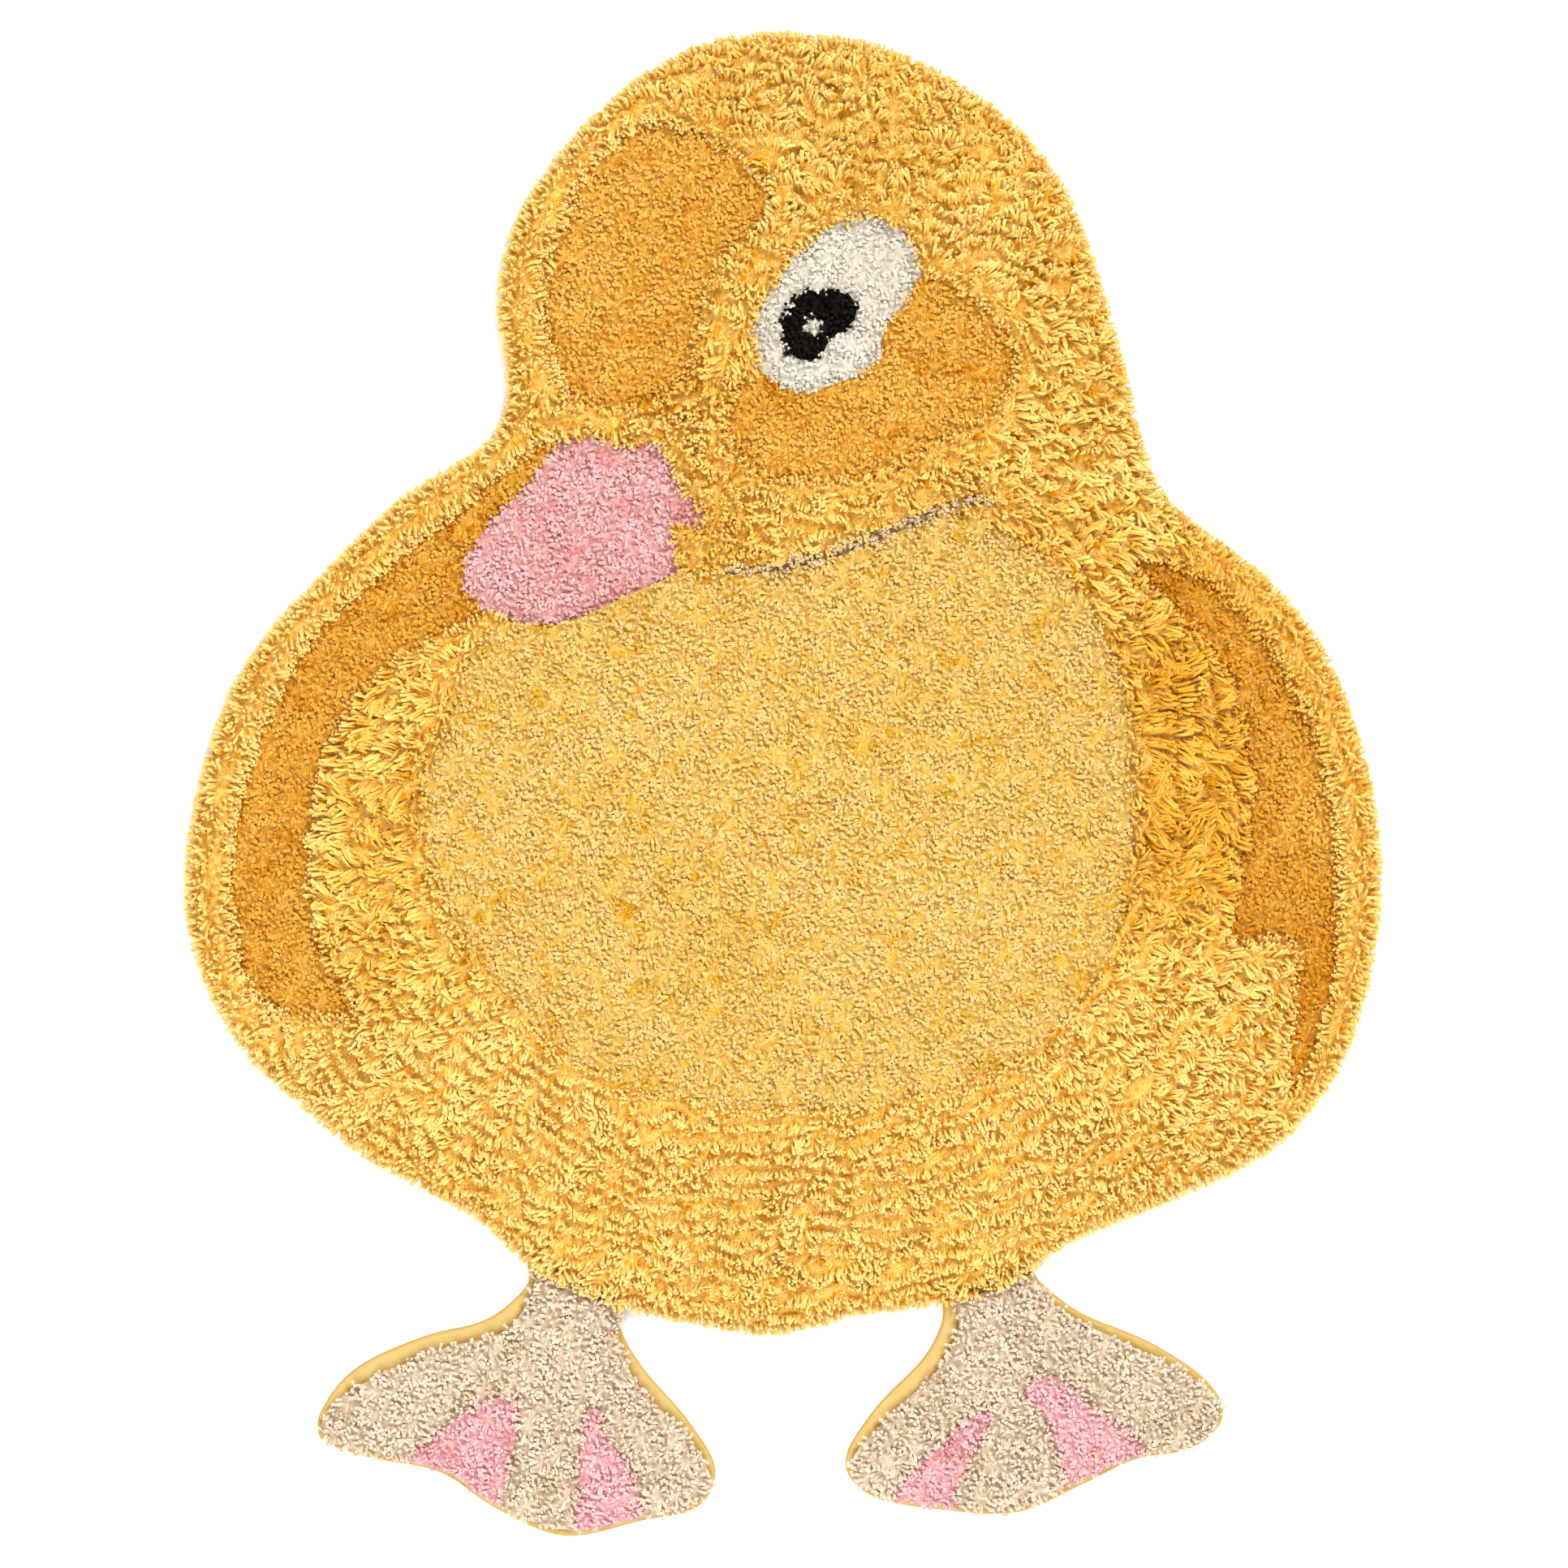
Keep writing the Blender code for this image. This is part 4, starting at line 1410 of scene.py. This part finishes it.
@dataclass(frozen=True)
class Shag:
    """The long cut shag of the body and head, combed into rows of uneven clumps.

    Sizes are in mm. spacing and radius are those of the yarn ends, and the fringe at
    the rim stands closer. The tips reach tip_out past the solid's smoothed rim, and
    the roots start root_inset inside them. Rows are rope_rows apart, and ring_rows in
    the rings beside the belly. crevice is how far roots part between two rows,
    row_height how far a row stands up, and tuft_gather how strongly a clump leans
    together. An end longer than long_end has two bends.
    """

    node: str = "shag_pile"
    spacing: float = 3.55
    radius: float = 1.25
    fringe_step: float = 2.4
    tip_out: float = 5.4
    root_inset: float = 7.0
    root_height: float = 13.0
    rim_height: float = 4.8
    rope_rows: float = 13.5
    ring_rows: float = 20.0
    crevice: float = 1.7
    row_height: float = 1.8
    tuft_gather: float = 0.04
    long_end: float = 13.8
    parts: int = 4

    def dress(
        self, patches: dict[str, Patch], materials: dict[Slot, bpy.types.Material]
    ) -> list[bpy.types.Object]:
        """Tufts the shag and stands its ends on a bed.

        Args:
            patches: Every node's outline.
            materials: Every slot's material.

        Returns:
            The shag's objects, which replace its node.
        """
        rng = np.random.default_rng(SEED)
        outline = self._outline(patches[self.node])
        ends = self._ends(patches, outline, rng)
        edge = even_closed(outline + (self.root_inset - 0.5) * inward(outline), 6.0)
        loops = [edge, *patches[self.node].loops[1:]]
        bed = pile_bed(loops, rng, lambda plan: self._bed_top(plan, outline, patches))
        long = ends.length > self.long_end
        made = []
        for at, zone in enumerate(bands(ends.root[:, 1], self.parts)):
            meshes = [ends.subset(zone & long).mesh((4, 7)), ends.subset(zone & ~long).mesh((5,))]
            if at == 0:
                meshes.append(bed)
            name = f"{self.node}_yarn_{at + 1}"
            made.append(finished(name, MeshArrays.joined(meshes), self.node, Slot.SHAG, materials))
        return made

    def _outline(self, patch: Patch) -> Array:
        """The smooth line through the tips: the rim's mean over nine points, moved out.

        Args:
            patch: The shag's outline.

        Returns:
            The line's points.
        """
        rim = even_closed(patch.loops[0], 3.0)
        window = sum(np.roll(rim, k, axis=0) for k in range(-4, 5)) / 9.0
        out = np.full(len(window), self.tip_out)
        for x, y, reach, further in OVERHANGS:
            out += further * np.exp(-((window - (x, y)) ** 2).sum(axis=1) / reach**2)
        return window - out[:, None] * inward(window)

    def _bed_top(self, plan: Array, outline: Array, patches: dict[str, Patch]) -> Array:
        """The bed's height: lower at the rug's rim and beside the short fields.

        Args:
            plan: Places in the plane.
            outline: The line through the tips at the rim.
            patches: Every node's outline.

        Returns:
            A height for each place.
        """
        from_rim = nearest_edge(plan, [outline])[0]
        from_field = nearest_edge(plan, outer_loops(patches, *SHORT_BESIDE_SHAG))[0]
        inner = 6.6 + 4.6 * smoothstep(from_field, 0.0, 10.0) + 0.7 * Ripple(31, 24.0).at(plan)
        return self.rim_height + smoothstep(from_rim, 7.0, 19.0) * inner

    @staticmethod
    def _to_row(points: Array, pitch: Array, patches: dict[str, Patch]) -> tuple[Array, Array]:
        """Finds the nearest tufting row to each point.

        In the body the rows follow each other away from the belly, and in the head
        they follow each other up the rug. Ripples bend both.

        Args:
            points: Places in the plane.
            pitch: The distance between rows there.
            patches: Every node's outline.

        Returns:
            How far that row is, and the way in which the rows follow each other.
        """
        distance, way = nearest_edge(points, patches["belly_pile"].loops)
        body = points[:, 1] < 178.0 + 0.35 * np.abs(points[:, 0])
        bend = 9.0 * Ripple(41, 120.0).at(points)
        wave = 3.2 * Ripple(47, 38.0).at(points)
        measure = np.where(body, distance + 0.6 * bend + wave, points[:, 1] + bend + 1.5 * wave)
        growth = np.where(body[:, None], -way, np.array([0.0, 1.0]))
        return np.round(measure / pitch) * pitch - measure, growth

    @staticmethod
    def _ring(points: Array) -> Array:
        """How far each point lies in the long shag between the belly and a wing.

        It is two bells, exp(-r^2) with r the distance in units of their reach.

        Args:
            points: Places in the plane.

        Returns:
            A share from 0 to 1 for each.
        """
        x, y = points[:, 0], points[:, 1]
        right = np.exp(-(((x - 315.0) / 60.0) ** 2) - ((y - 20.0) / 130.0) ** 2)
        left = np.exp(-(((x + 325.0) / 50.0) ** 2) - ((y + 20.0) / 110.0) ** 2)
        return np.clip(1.25 * (right + 0.8 * left), 0.0, 1.0)

    def _clumps(self, patches: dict[str, Patch], rng: np.random.Generator) -> Clumps:
        """Clumps along the rows, 9.5 mm apart, or 15 mm in the long shag's rings.

        Args:
            patches: Every node's outline.
            rng: Source of everything random.

        Returns:
            The clumps.
        """
        box = wide_box(patches[self.node])
        close, wide = (shaken_grid([box], apart, 0.38, rng) for apart in (9.5, 15.0))
        middle = np.vstack([close[self._ring(close) < 0.5], wide[self._ring(wide) >= 0.5]])
        pitch = np.where(self._ring(middle) >= 0.5, self.ring_rows, self.rope_rows)
        shift, growth = self._to_row(middle, pitch, patches)
        return Clumps.scattered(middle + 0.75 * shift[:, None] * growth, rng)

    @staticmethod
    def _combed(points: Array) -> tuple[Array, Array]:
        """Blends the combs, each weighted by exp(-r^2), r in units of its reach.

        Args:
            points: Places in the plane.

        Returns:
            The lean vector and the yarn's length at each.
        """
        table = np.array([(c.x, c.y, c.reach, c.heading, c.lean, c.length) for c in COMBS])
        gap = ((points[:, None] - table[None, :, :2]) ** 2).sum(axis=2)
        weight = np.exp(-gap / table[:, 2] ** 2) + 1e-4
        share = weight / np.maximum(weight.sum(axis=1, keepdims=True), 0.25)
        ways = pointing(np.radians(table[:, 3])) * np.radians(table[:, 4])[:, None]
        whole = weight / weight.sum(axis=1, keepdims=True)
        return share @ ways, whole @ table[:, 5]

    def _ends(self, patches: dict[str, Patch], outline: Array, rng: np.random.Generator) -> YarnEnds:
        """The shag's yarn ends: rooted, laid, and then hooked and toned at random.

        Args:
            patches: Every node's outline.
            outline: The line through the tips at the rim.
            rng: Source of everything random.

        Returns:
            The yarn ends.
        """
        root = self._roots(patches[self.node], outline, rng)
        clumps = self._clumps(patches, rng)
        tuft = clumps.subset(nearest_point(root, clumps.middle))
        stand = self._stand(root, tuft, patches, outline)
        lay = self._lay(stand, tuft, rng)
        count = len(root)
        size = np.linalg.norm(lay.lean, axis=1)
        droop = rng.uniform(0.0, 0.9, count) * stand.rim * (1.0 - smoothstep(stand.to_rim, 8.0, 14.0))
        curl = tuft.curl + rng.normal(0.0, 0.4, count)
        hooked = 0.3 + (0.7 + 0.8 * stand.ring) * stand.free
        return YarnEnds(
            root=np.column_stack([stand.root, lay.height]),
            heading=np.arctan2(lay.lean[:, 1], lay.lean[:, 0]),
            lean_root=size * 0.6,
            lean_tip=np.minimum(size * 1.4, MOST_LEAN) + droop,
            hook_heading=curl,
            hook=tuft.bend * rng.uniform(0.7, 1.6, count) * hooked,
            length=lay.length * rng.uniform(0.92, 1.08, count),
            radius=self.radius * rng.uniform(0.85, 1.15, count),
            phase=rng.uniform(0.0, math.tau, count),
            tone=self._tone(stand, tuft) + rng.normal(0.0, 0.6, count),
            ground=np.where(stand.to_rim < 13.0, 0.3, CLOTH_TOP),
        )

    def _roots(self, patch: Patch, outline: Array, rng: np.random.Generator) -> Array:
        """The roots: a shaken grid, and a fringe along the rim.

        Args:
            patch: The shag's outline.
            outline: The line through the tips at the rim.
            rng: Source of the shakes.

        Returns:
            A place for each yarn end.
        """
        edge = outline + self.root_inset * inward(outline)
        root = shaken_grid([edge, *patch.loops[1:]], self.spacing, ROOT_SHAKE, rng)
        fringe = even_closed(edge, self.fringe_step)
        fringe = fringe + rng.uniform(0.0, 1.6, (len(fringe), 1)) * inward(fringe)
        return np.vstack([root, fringe])

    def _stand(self, root: Array, tuft: Clumps, patches: dict[str, Patch], outline: Array) -> Stand:
        """What each root stands near, once it has parted from the crevices.

        Args:
            root: The roots as they were set.
            tuft: Each root's clump.
            patches: Every node's outline.
            outline: The line through the tips at the rim.

        Returns:
            The roots' final places, and what surrounds them.
        """
        to_rim, rim_way = nearest_edge(root, [outline])
        to_gold, gold_way = nearest_edge(root, outer_loops(patches, *SHORT_BESIDE_SHAG))
        to_belly, belly_way = nearest_edge(root, patches["belly_pile"].loops)
        outer = smoothstep(to_gold - (to_rim - self.root_inset), -4.0, 4.0)
        foot = 1.0 - smoothstep(nearest_edge(root, outer_loops(patches, "foot"))[0], 8.0, 16.0)
        rim = (1.0 - smoothstep(to_rim, 10.0, 22.0)) * outer * (1.0 - foot)
        banded = 1.0 - smoothstep(to_rim + to_gold, 42.0, 54.0)
        gold = (1.0 - smoothstep(to_gold - 9.0 * banded, 4.0, 12.0)) * (1.0 - rim)
        free = 1.0 - np.maximum(rim, gold)
        pitch = self.rope_rows + (self.ring_rows - self.rope_rows) * self._ring(root)
        shift, growth = self._to_row(root, pitch, patches)
        split = free * smoothstep(Ripple(43, 34.0, 1.6).at(root), -0.8, 0.2)
        gap = split * np.exp(-(((pitch / 2 - np.abs(shift)) / 2.2) ** 2))
        aside = (gap * np.sign(shift))[:, None] * growth
        offset = root - tuft.middle
        root = root + self.crevice * aside - (0.04 * free)[:, None] * offset
        ring = self._ring(root)
        return Stand(
            root=root,
            offset=offset,
            to_rim=to_rim,
            rim_way=rim_way,
            to_gold=to_gold,
            gold_way=gold_way,
            to_belly=to_belly,
            belly_way=belly_way,
            rim=rim,
            gold=gold,
            free=free,
            banded=banded,
            ring=ring,
            bottom=smoothstep(-root[:, 1], 130.0, 230.0) * (1.0 - ring),
            crest=split * np.cos(math.tau * shift / pitch),
            gap=gap,
            aside=aside,
            to_row=split * shift / pitch,
            growth=growth,
        )

    def _lay(self, stand: Stand, tuft: Clumps, rng: np.random.Generator) -> Lay:
        """How the ends lie: combed, then bent over the short fields and the rim.

        An end that would stand nearly upright is laid over by a slow swirl, so that
        its side shows, and none reaches past the line of the tips.

        Args:
            stand: Where the roots stand.
            tuft: Each root's clump.
            rng: Source of the strays.

        Returns:
            The ends' lay.
        """
        count = len(stand.root)
        lean, length = self._combed(stand.root)
        stray = rng.normal(0.0, 0.18 - 0.08 * stand.ring, count)
        level = self.root_height + 1.1 * tuft.rise + self.row_height * stand.crest
        lay = Lay(
            lean=turned(lean, (0.3 - 0.05 * stand.ring) * tuft.heading + stray),
            length=(length - 4.5) * (1.0 + 0.06 * tuft.rise),
            height=level - 2.5 * stand.gap + 3.0 * stand.ring,
        )
        lay.lean += 0.3 * stand.aside + 0.9 * stand.to_row[:, None] * stand.growth
        lay.lean -= (self.tuft_gather * tuft.spread)[:, None] * stand.offset
        turn = 2.2 * Ripple(49, 40.0).at(stand.root) + 0.5 * tuft.heading
        swirl = pointing(turn + rng.normal(0.0, 0.6, count))
        lay.lean += 0.15 * stand.bottom[:, None] * swirl
        lay.length *= 1.0 - 0.32 * stand.bottom
        lay.height += 3.0 * stand.bottom
        self._bend_over_fields(lay, stand, tuft, rng)
        self._bend_over_rim(lay, stand, tuft, rng)
        lay.lean += 0.12 * rng.normal(0.0, 1.0, (count, 2))
        upright = np.maximum(0.6 - np.linalg.norm(lay.lean, axis=1), 0.0)
        upright = upright * (1.0 - 1.8 * np.abs(stand.to_row))
        lay.lean += upright[:, None] * swirl
        outward = (lay.lean * stand.rim_way).sum(axis=1)
        furthest = lean_for(stand.to_rim + rng.uniform(-1.2, 0.9, count), lay.length)
        lay.lean -= np.maximum(outward - furthest, 0.0)[:, None] * stand.rim_way
        return lay

    @staticmethod
    def _bend_over_fields(lay: Lay, stand: Stand, tuft: Clumps, rng: np.random.Generator) -> None:
        """Bends the ends beside the belly and the other short fields over their edges.

        Args:
            lay: The lay to change.
            stand: Where the roots stand.
            tuft: Each root's clump.
            rng: Source of the strays.
        """
        border = 0.7 * (1.0 - smoothstep(stand.to_belly, 3.0, 12.0))
        lay.blend(border, turned(stand.belly_way * 0.35, 0.5 * tuft.heading), lay.length, lay.height)
        lay.length *= 1.0 - 0.2 * (1.0 - smoothstep(stand.to_belly, 0.0, 26.0))
        length = (10.0 + 0.45 * stand.to_gold) * (1.0 + 0.12 * tuft.rise)
        reach = 2.8 + 0.55 * stand.to_gold + 2.0 * tuft.rise + rng.uniform(-1.5, 1.5, len(length))
        lean = stand.gold_way * lean_for(np.maximum(reach, 0.5), length)[:, None]
        lay.blend(stand.gold, turned(lean, 0.2 * tuft.heading), length, 9.0 + 0.6 * tuft.rise)

    def _bend_over_rim(self, lay: Lay, stand: Stand, tuft: Clumps, rng: np.random.Generator) -> None:
        """Bends the ends at the rug's rim outwards, so that their tips make one line.

        Args:
            lay: The lay to change.
            stand: Where the roots stand.
            tuft: Each root's clump.
            rng: Source of the strays.
        """
        length = 8.5 + 10.5 * smoothstep(stand.to_rim, 6.0, 21.0)
        inset = stand.to_rim - self.root_inset
        reach = 6.2 - 0.1 * inset + 0.5 * tuft.rise + rng.uniform(-0.9, 0.9, len(length))
        lean = turned(stand.rim_way * lean_for(reach, length)[:, None], 0.12 * tuft.heading)
        height = self.rim_height + 4.2 * smoothstep(stand.to_rim, 6.0, 22.0)
        lay.blend(stand.rim, lean, length, height)

    @staticmethod
    def _tone(stand: Stand, tuft: Clumps) -> Array:
        """How pale each end is: a random tone, with a painted highlight at the bottom and the rim,
        and painted shade in rings and crevices.

        Painted light also makes the rug's right side darker than its left in the rings and narrow bands.

        Args:
            stand: Where the roots stand.
            tuft: Each root's clump.

        Returns:
            A tone for each end.
        """
        side = np.sign(stand.root[:, 0])
        # Painted highlight at the body's bottom and along the rim, over a random broad tone.
        broad = Ripple(53, 150.0).at(stand.root) + 3.0 * stand.bottom + 1.5 * stand.rim
        # Painted shade in the rings, and painted light that is paler on the left and darker on the right.
        broad -= 1.5 * side * stand.banded + (3.2 + 1.2 * side) * stand.ring
        # Painted shade: ends in a crevice between rows are darker.
        return broad + tuft.tone - 18.0 * stand.gap**2


# --- Canvas ------------------------------------------------------------------


@dataclass(frozen=True)
class Canvas:
    """The canvas cloth with its turned hem, puffed between its fold and its seam."""

    node: str = "base_cloth"
    thickness: float = 3.0
    step: float = 3.0
    puff: float = 3.0
    insets: tuple[float, ...] = (0.35, 1.0, 2.0, 3.4, 5.2, 7.2, 9.2, 11.0, 12.6, 14.2, 16.0)

    def dress(self, patches: dict[str, Patch], materials: dict[Slot, bpy.types.Material]) -> bpy.types.Object:
        """Builds the cloth.

        Args:
            patches: Every node's outline.
            materials: Every slot's material.

        Returns:
            The cloth, which replaces its node.
        """
        outline = smooth_closed(patches[self.node].loops[0], self.step)
        feet = outer_loops(patches, "foot")
        rings = [outline]
        for inset in self.insets:
            ring = outline + inset * inward(outline)
            whole = nearest_edge(ring, [outline])[0] > 0.94 * inset
            near = nearest_edge(ring, feet)[0] < 30.0
            sparse = np.arange(len(ring)) % 4 == 0
            rings.append(ring[whole & (near | (sparse & (inset in (1.0, 3.4))))])
        fill = shaken_grid([outline], 32.0, 0.1, np.random.default_rng(SEED))
        fill = fill[nearest_edge(fill, [outline])[0] > 24.0]
        plan = np.vstack([*rings, fill])
        top = self._top(plan, outline, feet)
        top[: len(outline)] = self.thickness / 2
        low_ring = outline + 1.2 * inward(outline)
        count = len(outline)
        points = np.vstack([
            np.column_stack([plan, top]),
            np.column_stack([low_ring, np.zeros(count)]),
        ])
        here, after = np.arange(count), np.roll(np.arange(count), -1)
        below = len(plan)
        quads = np.column_stack([here + below, after + below, after, here])
        tris = np.vstack([
            plane_triangles(plan, [outline]),
            plane_triangles(low_ring, [low_ring], flip=True) + below,
        ])
        mesh = MeshArrays(
            points=points,
            quads=quads,
            tris=tris,
            quad_uv=points[quads][..., :2] * MM,
            tri_uv=points[tris][..., :2] * MM,
            tone=np.concatenate([self._folds(plan, outline, feet), np.ones(count)]),
        )
        return finished("canvas_cloth", mesh, self.node, Slot.CANVAS, materials, smooth=True)

    def _top(self, plan: Array, outline: Array, feet: list[Array]) -> Array:
        """The upper side's height: a quarter round at the fold, and the hem's puff.

        With t the share of the way from the fold to the pile, the puff rises as
        4t(1 - t), and small puckers run along its seam.

        Args:
            plan: Places in the plane.
            outline: The cloth's outline.
            feet: The outlines of the feet's pile.

        Returns:
            A height for each place.
        """
        distance = nearest_edge(plan, [outline])[0]
        to_pile = nearest_edge(plan, feet)[0]
        bare = ~np.any([inside(plan, [foot]) for foot in feet], axis=0) & (to_pile < 26.0)
        width = distance + to_pile
        share = distance / np.maximum(width, 1e-6)
        round_off = np.sqrt(1.0 - (1.0 - np.clip(distance / 2.2, 0.0, 1.0)) ** 2)
        pucker = Ripple(77, 9.0).at(plan) * 0.35 + Ripple(78, 26.0).at(plan) * 0.35
        hem = self.puff * np.minimum(width / 14.0, 1.0) * (4.0 * share * (1.0 - share)) ** 0.8
        rise = np.where(bare, hem * (1.0 + 0.25 * pucker) + 0.35 * pucker * share, 0.0)
        return self.thickness / 2 + (self.thickness / 2 + rise) * round_off

    @staticmethod
    def _folds(plan: Array, outline: Array, feet: list[Array]) -> Array:
        """How much painted shade the cloth has: full at the rolled outer fold, and in part along
        the seam as the pile's painted shadow.

        Args:
            plan: Places in the plane.
            outline: The cloth's outline.
            feet: The outlines of the feet's pile.

        Returns:
            A share from 0 to 1 for each place.
        """
        # Painted shade where the cloth rolls over at its outer edge.
        fold_shade = 1.0 - smoothstep(nearest_edge(plan, [outline])[0], 0.4, 1.8)
        to_pile = nearest_edge(plan, feet)[0]
        # The pile's painted shadow along the seam, uneven along it.
        seam_shadow = (0.35 + 0.3 * Ripple(79, 12.0).at(plan)) * (1.0 - smoothstep(to_pile, 0.5, 4.5))
        return np.clip(np.maximum(0.9 * fold_shade, seam_shadow), 0.0, 1.0)

    @staticmethod
    def declare(cloth: bpy.types.Object, patch: Patch, pieces: list[bpy.types.Object]) -> None:
        """Does nothing; the cloth lies as it was cut, and its flat size is not stated.

        Args:
            cloth: The cloth, not used.
            patch: Its outline, not used.
            pieces: The pile that is tufted into it, not used.
        """


# --- Stage -------------------------------------------------------------------


@dataclass(frozen=True)
class Stage:
    """A pale floor, soft studio light and a camera that looks straight down."""

    floor_side: float = 12.0
    camera_height: float = 4.6
    frame_side: float = 1.2471
    subject_height: float = 0.018
    sensor: float = 36.0
    key_energy: float = 790.0
    fill_energy: float = 85.0
    world: float = 0.88

    def build(self) -> None:
        """Makes the floor, the lights, the world and the camera."""
        self._floor()
        self._camera()
        self._area("key_light", (4.0, 5.5, 8.2), 3.2, self.key_energy, (1.0, 0.985, 0.96))
        self._area("fill_light", (-1.0, -2.6, 2.6), 2.4, self.fill_energy, (0.97, 0.985, 1.0))
        world = bpy.data.worlds.new("studio")
        world.use_nodes = True
        background = world.node_tree.nodes["Background"]
        background.inputs["Color"].default_value = (1.0, 1.0, 1.0, 1.0)
        background.inputs["Strength"].default_value = self.world
        bpy.context.scene.world = world
        view = bpy.context.scene.view_settings
        view.view_transform = "Standard"
        view.look = "None"
        view.exposure = 0.0
        view.gamma = 1.0

    def _floor(self) -> None:
        """A plain floor just under the rug."""
        half = self.floor_side / 2
        mesh = bpy.data.meshes.new("floor")
        corners = [(-half, -half, 0.0), (half, -half, 0.0), (half, half, 0.0), (-half, half, 0.0)]
        mesh.from_pydata(corners, [], [(0, 1, 2, 3)])
        material, net, shader = new_material("pale_floor")
        shader.inputs["Specular IOR Level"].default_value = 0.1
        grain = net.noise(40.0, 4.0)
        pale, paler = ((grey, grey, grey, 1.0) for grey in (0.90, 0.92))
        net.put(shader.inputs["Base Color"], net.mix(grain, pale, paler))
        net.put(shader.inputs["Roughness"], net.math("MULTIPLY_ADD", grain, 0.1, 0.75))
        mesh.materials.append(material)
        floor = bpy.data.objects.new("floor", mesh)
        bpy.context.scene.collection.objects.link(floor)

    def _camera(self) -> None:
        """A long lens straight above the rug, whose frame is as wide as the photo's."""
        data = bpy.data.cameras.new("camera")
        data.sensor_fit = "HORIZONTAL"
        data.sensor_width = self.sensor
        data.lens = self.sensor * (self.camera_height - self.subject_height) / self.frame_side
        camera = bpy.data.objects.new("camera", data)
        camera.location = (0.0, 0.0, self.camera_height)
        bpy.context.scene.collection.objects.link(camera)
        bpy.context.scene.camera = camera

    @staticmethod
    def _area(
        name: str, place: tuple[float, float, float], size: float, energy: float, colour: Colour
    ) -> None:
        """A square soft light aimed at the rug's middle.

        Args:
            name: The light's name.
            place: Where it stands, in metres.
            size: Its side, in metres.
            energy: Its power, in watts.
            colour: Its colour.
        """
        data = bpy.data.lights.new(name, "AREA")
        data.size = size
        data.energy = energy
        data.color = colour
        light = bpy.data.objects.new(name, data)
        light.location = place
        light.rotation_euler = Vector(place).to_track_quat("Z", "Y").to_euler()
        bpy.context.scene.collection.objects.link(light)


# --- The rug -----------------------------------------------------------------

SHORT_PILES = (
    ShortPile("belly_pile", Slot.BELLY, bank=5.0, parts=2),
    ShortPile("face_gold", Slot.GOLD),
    ShortPile("cheek_gold", Slot.GOLD),
    # Painted shade darkens the wings, the right one more.
    ShortPile("wing_left", Slot.GOLD, shade=1.6),
    ShortPile("wing_right", Slot.GOLD, shade=3.0),
    ShortPile("throat_pink", Slot.PINK),
    ShortPile("mouth_line", Slot.TAUPE, spacing=2.5, length=11.0, lean=0.8, lift=5.0),
    ShortPile("eye_white", Slot.CREAM),
    ShortPile("pupil", Slot.BLACK, lean=0.75, crack=0.0, outward=0.2, lift=1.3),
    ShortPile("eye_spark", Slot.CREAM, spacing=2.6, length=6.5, lift=2.4),
    ShortPile("foot_left", Slot.BEIGE, length=9.0, lean=0.85, outward=0.35, droop=2.0),
    ShortPile("foot_right", Slot.BEIGE, length=9.0, lean=0.85, outward=0.35, droop=2.0),
    ShortPile("web_left_outer", Slot.WEB),
    ShortPile("web_left_inner", Slot.WEB),
    ShortPile("web_right_inner", Slot.WEB),
    ShortPile("web_right_outer", Slot.WEB),
)


def main() -> None:
    """Loads the frame and dresses every node."""
    logging.basicConfig(level=logging.INFO, format="%(name)s: %(message)s")
    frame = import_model()
    Stage().build()
    groups = NodeGroups()
    materials = {finish.slot: finish.build(groups) for finish in YARNS}
    materials[Slot.CANVAS] = CanvasFinish().build(groups)
    patches = {name: Patch.read(node) for name, node in frame["nodes"].items()}
    cloth = Canvas().dress(patches, materials)
    pieces = Shag().dress(patches, materials)
    for pile in SHORT_PILES:
        pieces += pile.dress(patches[pile.node], materials)
    Canvas.declare(cloth, patches[Canvas.node], pieces)


if __name__ == "__main__":
    main()
